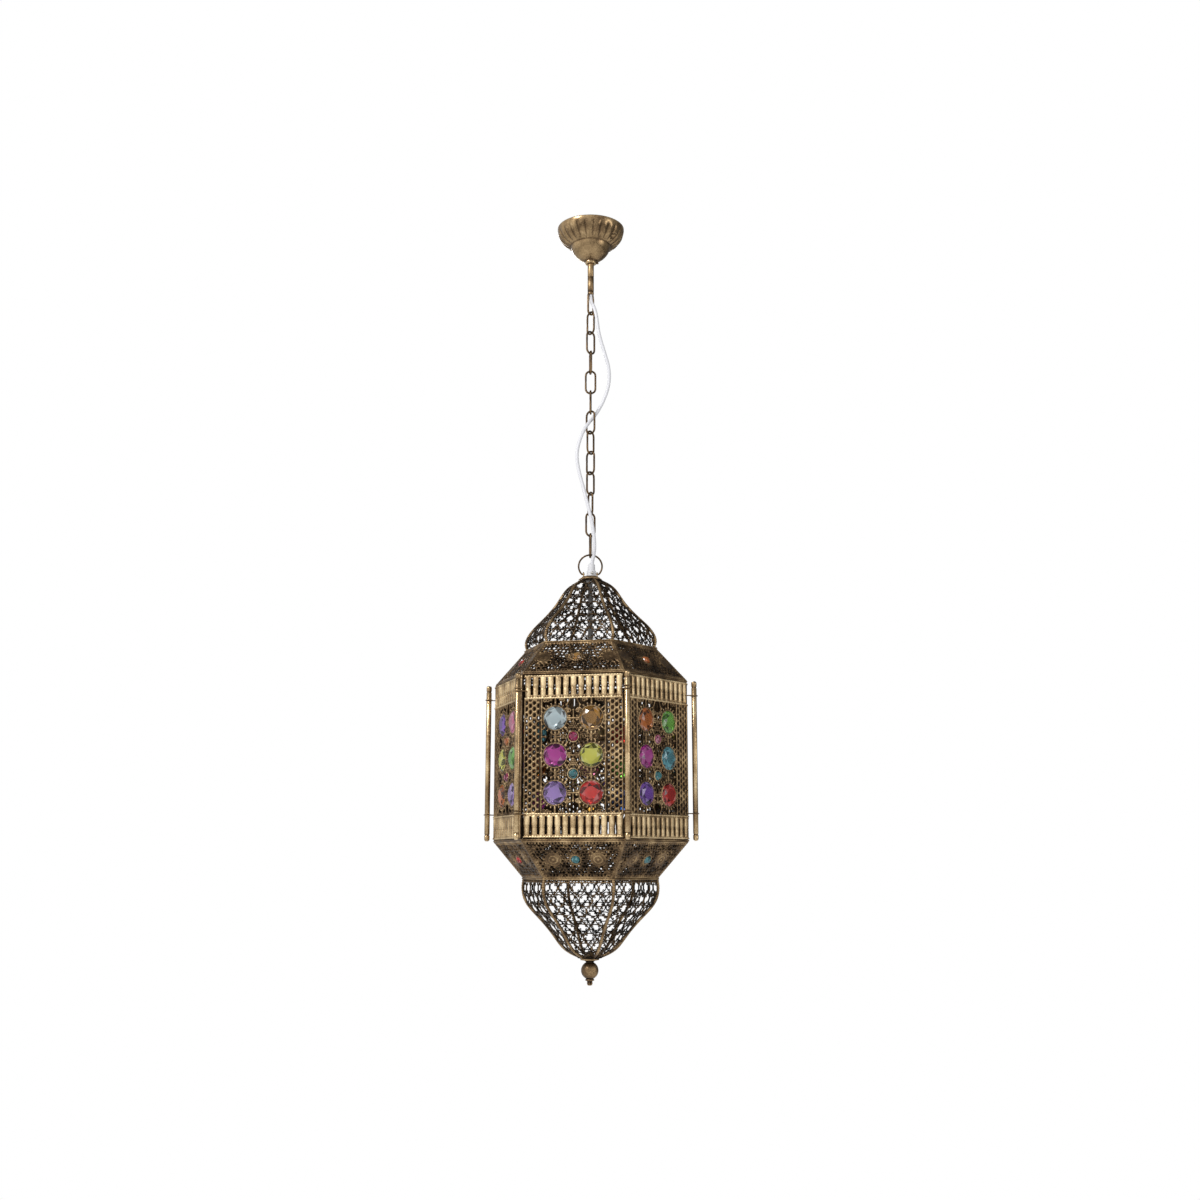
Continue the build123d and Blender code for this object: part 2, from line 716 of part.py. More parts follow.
def gem_panel(i, clearance):
    """One face of the body, cast with its gem bezels and the galleries of balusters."""
    azimuth = i * SIDE_ANGLE
    height = body_top - body_bottom - 2 * clearance
    plane = face_plane(azimuth, body_apothem, body_middle)
    gallery_middle = height / 2 - gallery_height / 2 - 1
    with BuildPart() as panel:
        with BuildSketch(plane):
            Rectangle(body_radius, height)
        extrude(amount=-panel_thickness)
        with BuildSketch(plane):
            for level in moulding_levels(height / 2):
                with Locations((0, level)):
                    Rectangle(body_radius, moulding_height)
        extrude(amount=moulding_depth)
        with BuildSketch(plane):
            with GridLocations(gem_column_pitch, gem_row_pitch, 2, 3):
                Circle(bezel_radius)
            with GridLocations(0, gem_row_pitch, 1, 2):
                Circle(small_gem_radius + small_bezel_width)
        extrude(amount=bezel_height)
        with BuildSketch(plane.offset(-panel_thickness)):
            with GridLocations(gem_column_pitch, gem_row_pitch, 2, 3):
                Circle(big_gem_radius + gem_play)
            with GridLocations(0, gem_row_pitch, 1, 2):
                Circle(small_gem_radius + gem_play)
            with GridLocations(gem_column_pitch, gem_row_pitch, 2, 2):
                Rectangle(diamond_size, diamond_size, rotation=45)
            with GridLocations(*strap_slot_pitch, 2, strap_slot_rows):
                SlotOverall(*strap_slot, rotation=90)
            with GridLocations(baluster_pitch, 2 * gallery_middle, baluster_count - 1, 2):
                SlotOverall(baluster_length, baluster_gap, rotation=90)
        extrude(amount=panel_thickness + bezel_height, mode=Mode.SUBTRACT)
        with BuildSketch(Plane.XY.offset(body_bottom)):
            wedge(azimuth, panel_gap, 2 * body_radius)
        extrude(amount=body_top - body_bottom, mode=Mode.INTERSECT)
        if i == 0:
            for clip_z in CLIP_HEIGHTS:
                with BuildSketch(Plane.XY.offset(clip_z - clip_height - door_clip_drop)):
                    clip_outline(azimuth, -1, rod_radius + door_play)
                    clip_outline(azimuth, 1, rod_radius + door_play, open_back=True)
                extrude(amount=clip_height)
    save(panel, f"panel_{FACE_NAMES[i]}")


def panel_gems(i):
    """The faceted gems of one panel."""
    plane = face_plane(i * SIDE_ANGLE, body_apothem, body_middle)
    with BuildPart() as gems:
        for size, columns, rows in ((big_gem_radius, 2, 3), (small_gem_radius, 1, 2)):
            pitch = gem_column_pitch if columns == 2 else 0
            with BuildSketch(plane.offset(-panel_thickness)):
                with GridLocations(pitch, gem_row_pitch, columns, rows):
                    RegularPolygon(size, big_gem_facets)
            extrude(amount=panel_thickness + bezel_height)
            with BuildSketch(plane.offset(bezel_height)):
                with GridLocations(pitch, gem_row_pitch, columns, rows):
                    RegularPolygon(size, big_gem_facets)
            extrude(amount=gem_crown, taper=gem_crown_taper)
    save(gems, f"gems_{FACE_NAMES[i]}")


for i in range(SIDES):
    gem_panel(i, door_gap if i == 0 else 0)
    panel_gems(i)

# ======== finial ========
ball_middle = bowl_bottom - ball_drop
with BuildPart() as finial:
    with Locations((0, 0, ball_middle)):
        Sphere(ball_radius)
    with BuildSketch(Plane.XY.offset(bowl_bottom)):
        Circle(finial_plate[0])
    extrude(amount=-finial_plate[1])
    with BuildSketch(Plane.XY.offset(bowl_bottom)):
        Circle(finial_neck[0])
    extrude(amount=-finial_neck[1])
    with BuildSketch(Plane.XY.offset(ball_middle - ball_radius + collar_overlap)):
        Circle(finial_collar[0])
    extrude(amount=-finial_collar[1])
    with BuildSketch(Plane.XY.offset(finial_bottom)):
        Circle(finial_tip[0])
    extrude(amount=finial_tip[1])
    fillet(finial.edges().group_by(Axis.Z)[0], radius=finial_tip_round)
    with BuildSketch(Plane.XY.offset(bowl_bottom)):
        Circle(finial_stud[0])
    extrude(amount=finial_stud[1])
save(finial, "finial")

# ======== the free cord ========


def cord_point(right, away, height):
    """A point of the cord's route in the model's frame."""
    return rightward(CHAIN_AZIMUTH) * right - outward(CHAIN_AZIMUTH) * away + Vector(0, 0, height)


route = [cord_point(*point) for point in CORD_ROUTE]
runs = [after - before for before, after in zip(route, route[1:])]
radii = []
for before, after in zip(runs, runs[1:]):
    turn = radians(before.get_angle(after))
    radii.append(BEND_SHARE * min(before.length, after.length) / tan(turn / 2))
print("cord bend radii:", [round(radius, 1) for radius in radii])

with BuildPart() as supply_cord:
    with BuildLine() as cord_path:
        FilletPolyline(*route, radius=radii)
    with BuildSketch(Plane(origin=route[0], z_dir=runs[0])):
        Circle(cord_radius)
    sweep(path=cord_path.wire())
cord_length = cord_path.wire().length
plain_volume = pi * cord_radius**2 * cord_length
print("cord length:", round(cord_length, 1), "volume ratio:", supply_cord.part.volume / plain_volume)
save(supply_cord, "supply_cord")
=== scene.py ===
import json
from math import atan, cos, hypot, pi, radians, sin, tan

import bpy
import numpy as np
from mathutils import Matrix, Vector

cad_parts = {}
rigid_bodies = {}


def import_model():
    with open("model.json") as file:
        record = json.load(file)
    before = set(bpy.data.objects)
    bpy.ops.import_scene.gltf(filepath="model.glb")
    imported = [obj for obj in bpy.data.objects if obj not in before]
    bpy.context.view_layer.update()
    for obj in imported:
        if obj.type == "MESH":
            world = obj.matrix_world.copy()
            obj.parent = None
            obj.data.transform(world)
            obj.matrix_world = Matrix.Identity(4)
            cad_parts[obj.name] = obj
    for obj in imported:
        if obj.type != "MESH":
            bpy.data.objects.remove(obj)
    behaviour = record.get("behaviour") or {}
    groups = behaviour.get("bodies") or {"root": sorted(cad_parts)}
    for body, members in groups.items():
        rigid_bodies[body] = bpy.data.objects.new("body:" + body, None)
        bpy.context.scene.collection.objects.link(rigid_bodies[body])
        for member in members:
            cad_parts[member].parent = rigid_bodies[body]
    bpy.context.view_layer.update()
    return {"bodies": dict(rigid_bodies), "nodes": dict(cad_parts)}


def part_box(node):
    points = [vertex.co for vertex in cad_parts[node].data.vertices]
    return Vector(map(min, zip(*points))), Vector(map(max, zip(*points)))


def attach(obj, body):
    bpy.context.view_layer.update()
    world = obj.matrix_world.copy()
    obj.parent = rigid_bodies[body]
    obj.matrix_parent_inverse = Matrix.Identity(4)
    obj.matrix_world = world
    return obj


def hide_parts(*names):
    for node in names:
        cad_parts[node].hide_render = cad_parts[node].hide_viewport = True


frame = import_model()
MM = 0.001
FACES = ["front", "front_right", "back_right", "back", "back_left", "front_left"]
TO_APOTHEM = cos(radians(30))
CHAIN_AZIMUTH = 10.7
scene = bpy.context.scene


def outward(azimuth):
    """The level direction at an azimuth, measured from -Y towards +X."""
    return Vector((sin(radians(azimuth)), -cos(radians(azimuth)), 0))


def rightward(azimuth):
    return Vector((cos(radians(azimuth)), sin(radians(azimuth)), 0))


def turned(azimuth):
    return Matrix.Rotation(radians(azimuth), 4, "Z")


def moved(x, y, z):
    return Matrix.Translation((x, y, z))


# turns a form's z to face outward from the front
UPRIGHT = Matrix.Rotation(radians(90), 4, "X")


def box_mm(node):
    """A CAD node's lowest and highest corners in millimetres."""
    low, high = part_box(node)
    return low / MM, high / MM


# ---- camera ----
CAMERA_DISTANCE = 1521
CAMERA_HEIGHT = -752
CAMERA_PITCH = 10.98
CAMERA_YAW = -0.42
camera_data = bpy.data.cameras.new("camera")
camera_data.sensor_width = 36
camera_data.lens = 40.5
camera_data.clip_start = 0.05
camera_data.clip_end = 50
camera = bpy.data.objects.new("camera", camera_data)
scene.collection.objects.link(camera)
camera.location = (outward(CHAIN_AZIMUTH) * CAMERA_DISTANCE + Vector((0, 0, CAMERA_HEIGHT))) * MM
camera.rotation_euler = (radians(90 + CAMERA_PITCH), 0, radians(CHAIN_AZIMUTH + CAMERA_YAW))
scene.camera = camera

# ---- the free cord ----
# its route to the right, away and up, seen along CHAIN_AZIMUTH, and the body that each point follows
ROSE, GRIP = "ceiling_rose", "lantern"
CORD_DIAMETER = 0.004
CORD_ROUTE = [
    (0.0, 0.0, -84.0, ROSE),
    (0.0, 0.0, -92.0, ROSE),
    (4.8, -5.1, -103.0, ROSE),
    (7.4, -7.6, -117.0, "link_01"),
    (9.6, -7.6, -137.0, "link_02"),
    (16.0, -6.0, -158.0, "link_02"),
    (22.5, -4.0, -180.0, "link_03"),
    (21.5, -1.0, -201.0, "link_04"),
    (13.5, 2.2, -221.0, "link_05"),
    (4.4, 3.2, -236.0, "link_05"),
    (-4.2, -3.6, -247.5, "link_06"),
    (-11.5, -7.0, -263.0, "link_07"),
    (-16.5, -7.5, -283.0, "link_07"),
    (-14.5, -7.0, -302.0, "link_08"),
    (-9.5, -8.0, -321.0, "link_09"),
    (-4.5, -9.4, -341.0, "link_10"),
    (0.6, -9.6, -361.0, "link_11"),
    (3.6, -8.0, -378.0, "link_11"),
    (5.0, -6.2, -394.0, "link_12"),
    (4.2, -3.8, -404.5, "bail_ring"),
    (1.8, 0.0, -413.5, GRIP),
    (1.8, 0.0, -421.0, GRIP),
]


def cord_point(right, away, up):
    return (rightward(CHAIN_AZIMUTH) * right - outward(CHAIN_AZIMUTH) * away + Vector((0, 0, up))) * MM


flex_curve = bpy.data.curves.new("flex", "CURVE")
flex_curve.dimensions = "3D"
flex_spline = flex_curve.splines.new("NURBS")
flex_spline.points.add(len(CORD_ROUTE) - 1)
for control, (right, away, up, body) in zip(flex_spline.points, CORD_ROUTE):
    control.co = (*cord_point(right, away, up), 1)
    control.radius = CORD_DIAMETER / 2
flex_spline.order_u = 3
flex_spline.use_endpoint_u = True
flex_spline.resolution_u = 12
flex_curve.bevel_depth = 1.0  # times each point's radius
flex_curve.bevel_resolution = 5
flex_curve.use_fill_caps = True
flex = bpy.data.objects.new("flex", flex_curve)
scene.collection.objects.link(flex)
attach(flex, ROSE)
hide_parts("supply_cord")
# each stretch of the cord follows the part of the chain that it is woven through
for body in dict.fromkeys(row[3] for row in CORD_ROUTE):
    if body != ROSE:
        follow = flex.modifiers.new("follow_" + body, "HOOK")
        follow.object = frame["bodies"][body]
        follow.vertex_indices_set([i for i, row in enumerate(CORD_ROUTE) if row[3] == body])
        follow.matrix_inverse = Matrix.Identity(4)


# ======== materials ========
class Graph:
    """Short calls for a node tree. Each gives the new node's output."""

    def __init__(self, tree):
        self.nodes, self.links = tree.nodes, tree.links

    def feed(self, socket, value):
        """Links an output into a socket, or sets the socket."""
        if isinstance(value, bpy.types.NodeSocket):
            self.links.new(value, socket)
        else:
            socket.default_value = value

    def node(self, kind, output, inputs=(), **settings):
        node = self.nodes.new("ShaderNode" + kind)
        for key, value in settings.items():
            setattr(node, key, value)
        for key, value in dict(inputs).items():
            self.feed(node.inputs[key], value)
        return node.outputs[output]

    def noise(self, scale, detail=4.0):
        inputs = {"Scale": scale, "Detail": detail, "Vector": self.node("TexCoord", "Object")}
        return self.node("TexNoise", "Fac", inputs)

    def ramp(self, value, stops):
        color = self.node("ValToRGB", "Color", {"Fac": value})
        elements = color.node.color_ramp.elements
        while len(elements) < len(stops):
            elements.new(0.5)
        for element, (position, shade) in zip(elements, stops):
            element.position = position
            element.color = (*shade, 1)
        return color

    def math(self, operation, *values):
        return self.node("Math", "Value", enumerate(values), operation=operation)

    def level(self, value, low, high, to_low, to_high):
        """value's range low to high becomes to_low to to_high."""
        return self.node("MapRange", "Result", {"Value": value, 1: low, 2: high, 3: to_low, 4: to_high})

    def bump(self, height, distance, strength):
        return self.node("Bump", "Normal", {"Strength": strength, "Distance": distance, "Height": height})


def new_material(name):
    material = bpy.data.materials.new(name)
    material.use_nodes = True
    tree = material.node_tree
    return material, Graph(tree), tree.nodes["Principled BSDF"].inputs


# from the darkest hollows to the lightest crests: patina and wear, together with painted shade and painted
# highlights
PATINA_AND_SHADE = [
    (0.10, (0.006, 0.005, 0.004)),
    (0.32, (0.045, 0.028, 0.015)),
    (0.52, (0.160, 0.100, 0.050)),
    (0.72, (0.420, 0.290, 0.150)),
    (0.95, (0.820, 0.640, 0.380)),
]


def aged_shaded_brass(name, from_relief, offset=0.0, rough=(0.28, 0.5), patch=60, contrast=1.0, lift=1.0):
    """Antique brass: dark in the hollows and light on the crests, partly patina and rubbing, partly painted shade
    in the hollows and painted highlights on the crests.
    """
    material, graph, inputs = new_material(name)
    fine, patches = graph.noise(900, 6), graph.noise(patch, 3)
    # the relief, or the pointiness where there is none, paints shade into the hollows and highlights onto the
    # crests, besides patina and rubbing
    if from_relief:
        crest, gain = graph.node("Attribute", "Fac", attribute_name="relief"), 0.62
    else:
        crest, gain = graph.level(graph.node("NewGeometry", "Pointiness"), 0.44, 0.58, 0, 1), 0.45
    wear_and_shade = graph.math("MULTIPLY", graph.math("POWER", crest, lift), gain * contrast)
    for part in (graph.level(patches, 0.3, 0.7, 0, 0.3), graph.level(fine, 0.3, 0.7, -0.1, 0.1), offset):
        wear_and_shade = graph.math("ADD", wear_and_shade, part)
    graph.feed(inputs["Base Color"], graph.ramp(wear_and_shade, PATINA_AND_SHADE))
    graph.feed(inputs["Metallic"], 0.85)
    graph.feed(inputs["Roughness"], graph.level(patches, 0.3, 0.7, *rough))
    graph.feed(inputs["Normal"], graph.bump(fine, 0.00012, 0.6))
    return material


# copies of the one brass with different offsets and contrast: the panels' stronger contrast paints their crests as
# brightly lit and their hollows as deep shade; the skirts get less contrast and the dome is set darker
panel_brass = aged_shaded_brass("panel_brass", True, contrast=1.35, lift=0.7)
skirt_brass = aged_shaded_brass("skirt_brass", True, 0.14, contrast=0.7)
dome_brass = aged_shaded_brass("dome_brass", True, -0.12)
plain_brass = aged_shaded_brass("plain_brass", False, 0.08)
rib_brass = aged_shaded_brass("rib_brass", False)
rod_brass = aged_shaded_brass("rod_brass", False, 0.22, (0.18, 0.30), 35)
rose_brass = aged_shaded_brass("rose_brass", False, 0.28, (0.20, 0.38), 45)
dark_brass = aged_shaded_brass("dark_brass", False, -0.06)


def simple(name, color, metallic, roughness, grain, depth, spread=0.08):
    """An even finish with a little variation of colour and a fine grain."""
    material, graph, inputs = new_material(name)
    value = graph.noise(grain)
    stops = [(0.3, tuple(c * (1 - spread) for c in color)), (0.7, tuple(min(1, c * (1 + spread)) for c in color))]
    graph.feed(inputs["Base Color"], graph.ramp(value, stops))
    graph.feed(inputs["Metallic"], metallic)
    graph.feed(inputs["Roughness"], graph.level(value, 0.3, 0.7, roughness * 0.85, roughness * 1.15))
    graph.feed(inputs["Normal"], graph.bump(value, depth, 0.5))
    return material


white_pvc = simple("white_pvc", (0.70, 0.70, 0.73), 0.0, 0.38, 700, 0.00004, 0.03)
white_nylon = simple("white_nylon", (0.66, 0.66, 0.68), 0.0, 0.45, 500, 0.00005, 0.04)
grey_braid = simple("grey_braid", (0.17, 0.16, 0.15), 0.0, 0.75, 1500, 0.0003, 0.4)
zinc = simple("zinc", (0.58, 0.56, 0.52), 1.0, 0.35, 800, 0.00005)
glaze = simple("glaze", (0.82, 0.79, 0.72), 0.0, 0.22, 300, 0.00003, 0.04)


def gem_material(name, color):
    """Tinted faceted acrylic, with painted shade and painted highlights on its facets, set by each facet's painted
    shade value.
    """
    material, graph, inputs = new_material("gem_" + name)
    cloud = graph.level(graph.noise(60, 1), 0.3, 0.7, -0.06, 0.06)
    tone = graph.math("ADD", graph.node("Attribute", "Fac", attribute_name="tone"), cloud)
    # deep is painted shade on the dark facets and pale a painted highlight on the light ones
    deep, middle = tuple(c * 0.06 for c in color), tuple(c * 0.55 for c in color)
    pale = tuple(0.38 + 0.62 * c for c in color)
    graph.feed(inputs["Base Color"], graph.ramp(tone, [(0.05, deep), (0.38, middle), (0.62, color), (0.98, pale)]))
    graph.feed(inputs["Transmission Weight"], 0.6)
    graph.feed(inputs["IOR"], 1.49)
    graph.feed(inputs["Roughness"], 0.01)
    return material


GEM_COLORS = {
    "clear": (0.72, 0.86, 0.90),
    "amber": (0.62, 0.31, 0.05),
    "magenta": (0.62, 0.05, 0.42),
    "yellow": (0.82, 0.80, 0.12),
    "lilac": (0.52, 0.34, 0.78),
    "red": (0.78, 0.04, 0.03),
    "ruby": (0.66, 0.04, 0.20),
    "teal": (0.08, 0.36, 0.40),
    "orange": (0.86, 0.26, 0.05),
    "green": (0.22, 0.58, 0.08),
    "aqua": (0.22, 0.62, 0.72),
    "violet": (0.30, 0.12, 0.62),
    "pink": (0.90, 0.28, 0.46),
    "blue": (0.08, 0.22, 0.66),
}
gem_materials = {name: gem_material(name, color) for name, color in GEM_COLORS.items()}


# ======== mesh tools ========
def build(name, vertices, faces, material, smooth=True, relief=None, material_index=None):
    """An object from vertices in millimetres and a list of face arrays, each of one face size."""
    mesh = bpy.data.meshes.new(name)
    vertices = np.asarray(vertices, np.float32) * MM
    faces = [np.asarray(f, np.int32) for f in faces if len(f)]
    sizes = np.concatenate([np.full(len(f), f.shape[1], np.int32) for f in faces])
    corners = np.concatenate([f.ravel() for f in faces])
    mesh.vertices.add(len(vertices))
    mesh.vertices.foreach_set("co", vertices.ravel())
    mesh.loops.add(len(corners))
    mesh.loops.foreach_set("vertex_index", corners)
    mesh.polygons.add(len(sizes))
    mesh.polygons.foreach_set("loop_start", np.concatenate([[0], np.cumsum(sizes)[:-1]]).astype(np.int32))
    mesh.polygons.foreach_set("use_smooth", np.full(len(sizes), smooth))
    for item in material if isinstance(material, list) else [material]:
        mesh.materials.append(item)
    if material_index is not None:
        mesh.polygons.foreach_set("material_index", np.asarray(material_index, np.int32))
    if relief is not None:
        attribute = mesh.attributes.new("relief", "FLOAT", "POINT")
        attribute.data.foreach_set("value", np.asarray(relief, np.float32))
    mesh.update(calc_edges=True)
    mesh.validate()
    thing = bpy.data.objects.new(name, mesh)
    scene.collection.objects.link(thing)
    return thing


def twin(source, name, turn):
    """The same mesh, turned about the lantern's axis."""
    thing = bpy.data.objects.new(name, source.data)
    thing.rotation_euler = (0, 0, radians(turn))
    scene.collection.objects.link(thing)
    return thing


def fit(thing, body, node):
    """Hangs a piece on its body, in place of a CAD node."""
    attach(thing, body)
    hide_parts(node)


def at_corners(parts, vertices, faces):
    """The same form at each of the lantern's six corners."""
    for i in range(6):
        parts.add(vertices, faces, matrix=turned(30 + 60 * i))


def in_turn(points):
    """The distances along a polyline."""
    return np.concatenate([[0], np.cumsum(np.linalg.norm(np.diff(points, axis=0), axis=1))])


def grid_faces(rows, columns, wrap_rows=False, wrap_columns=True):
    """Quads between the points of a grid, whose index is row * columns + column."""
    r = np.arange(rows if wrap_rows else rows - 1)
    c = np.arange(columns if wrap_columns else columns - 1)
    r, c = (a.ravel() for a in np.meshgrid(r, c, indexing="ij"))
    r2, c2 = (r + 1) % rows, (c + 1) % columns
    return np.stack([r * columns + c, r * columns + c2, r2 * columns + c2, r2 * columns + c], 1)


class Parts:
    """Several closed meshes gathered into one object."""

    def __init__(self):
        self.vertices, self.faces, self.relief, self.index, self.count = [], {}, [], {}, 0

    def add(self, vertices, faces, relief=None, index=0, matrix=None):
        vertices = np.asarray(vertices, float)
        if matrix is not None:
            m = np.array(matrix, float)
            vertices = vertices @ m[:3, :3].T + m[:3, 3]
        self.vertices.append(vertices)
        self.relief.append(np.full(len(vertices), 0.6) if relief is None else np.asarray(relief, float))
        for f in faces:
            f = np.asarray(f)
            if len(f):
                self.faces.setdefault(f.shape[1], []).append(f + self.count)
                self.index.setdefault(f.shape[1], []).append(np.full(len(f), index))
        self.count += len(vertices)

    def object(self, name, material, smooth=True):
        faces = [np.concatenate(self.faces[k]) for k in sorted(self.faces)]
        index = np.concatenate([np.concatenate(self.index[k]) for k in sorted(self.index)])
        return build(
            name, np.concatenate(self.vertices), faces, material, smooth, np.concatenate(self.relief), index
        )


def lathe(profile, segments=64, shape=None):
    """A closed turned form from (radius, height) points; a point at radius 0 closes an end.
    shape(angle, i) gives extra (radius, height) at each point."""
    profile = np.asarray(profile, float)
    angle = np.arange(segments) * 2 * pi / segments
    radius = np.repeat(profile[:, :1], segments, 1)
    height = np.repeat(profile[:, 1:2], segments, 1)
    if shape is not None:
        for i in range(len(profile)):
            dr, dz = shape(angle, i)
            radius[i] += dr
            height[i] += dz
    vertices = np.stack([radius * np.sin(angle), -radius * np.cos(angle), height], 2).reshape(-1, 3)
    closed = bool(profile[0, 0] > 0 and profile[-1, 0] > 0)
    return vertices, [grid_faces(len(profile), segments, wrap_rows=closed)]


def rounded(points, radius, steps=4):
    """A polyline with its inner corners rounded."""
    points = [Vector(p) for p in points]
    out = [points[0]]
    for before, at, after in zip(points, points[1:], points[2:]):
        a, b = before - at, after - at
        cut = min(radius, a.length * 0.45, b.length * 0.45)
        p, q = at + a.normalized() * cut, at + b.normalized() * cut
        for k in range(steps + 1):
            t = k / steps
            out.append(p * (1 - t) ** 2 + at * 2 * t * (1 - t) + q * t**2)
    out.append(points[-1])
    return out


def tube(points, radius, sides=10, closed=False, twist=None):
    """A round bar along points. twist(distance, angle) multiplies its radius, as the turns of a rope do."""
    p = np.array([list(q) for q in points], float)
    count = len(p)
    following = np.roll(p, -1, 0) if closed else np.vstack([p[1:], 2 * p[-1] - p[-2]])
    preceding = np.roll(p, 1, 0) if closed else np.vstack([2 * p[0] - p[1], p[:-1]])
    tangent = following - preceding
    tangent /= np.linalg.norm(tangent, axis=1)[:, None]
    side = np.cross(tangent[0], (0, 0, 1.0))
    if np.linalg.norm(side) < 0.1:
        side = np.cross(tangent[0], (1.0, 0, 0))
    sides_at = []
    for t in tangent:
        side = side - t * (side @ t)
        side /= np.linalg.norm(side)
        sides_at.append(side)
    u = np.array(sides_at)
    v = np.cross(tangent, u)
    angle = np.arange(sides) * 2 * pi / sides
    along = in_turn(p)
    r = np.broadcast_to(np.asarray(radius, float), (count,))[:, None] * np.ones(sides)
    if twist is not None:
        r = r * twist(along[:, None], angle[None, :])
    ring = u[:, None, :] * np.cos(angle)[None, :, None] + v[:, None, :] * np.sin(angle)[None, :, None]
    vertices = (p[:, None, :] + ring * r[:, :, None]).reshape(-1, 3)
    faces = [grid_faces(count, sides, wrap_rows=closed)]
    if not closed:
        first, last = len(vertices), len(vertices) + 1
        vertices = np.vstack([vertices, p[0], p[-1]])
        k = np.arange(sides)
        faces.append(np.stack([np.full(sides, first), (k + 1) % sides, k], 1))
        base = (count - 1) * sides
        faces.append(np.stack([np.full(sides, last), base + k, base + (k + 1) % sides], 1))
    return vertices, faces


def rope(pitch, depth=0.16, starts=2):
    return lambda along, angle: 1 + depth * np.sin(along * 2 * pi / pitch + starts * angle)


def hexagon(radius, height, step):
    """Points round a hexagon with corners between the faces, step apart."""
    corners = [outward(30 + 60 * i) * radius + Vector((0, 0, height)) for i in range(6)]
    points = []
    for a, b in zip(corners, corners[1:] + corners[:1]):
        count = max(2, int((b - a).length / step))
        points += [a.lerp(b, k / count) for k in range(count)]
    return points


# ======== pierced castings ========
# for each case of a grid cell, by which of its corners c0 to c3 are metal, its polygons of corners and of
# the points e0 to e3 where the outline crosses its edges
CASES = {
    number: [corners.split() for corners in shapes.split(",")]
    for number, shapes in {
        1: "c0 e0 e3", 2: "c1 e1 e0", 3: "c0 c1 e1 e3", 4: "c2 e2 e1", 5: "c0 e0 e3,c2 e2 e1", 6: "c1 c2 e2 e0",
        7: "c0 c1 c2 e2 e3", 8: "c3 e3 e2", 9: "c0 e0 e2 c3", 10: "c1 e1 e0,c3 e3 e2", 11: "c0 c1 e1 e2 c3",
        12: "c3 e3 e1 c2", 13: "c0 e0 e1 c2 c3", 14: "e0 c1 c2 c3 e3", 15: "c0 c1 c2 c3",
    }.items()
}


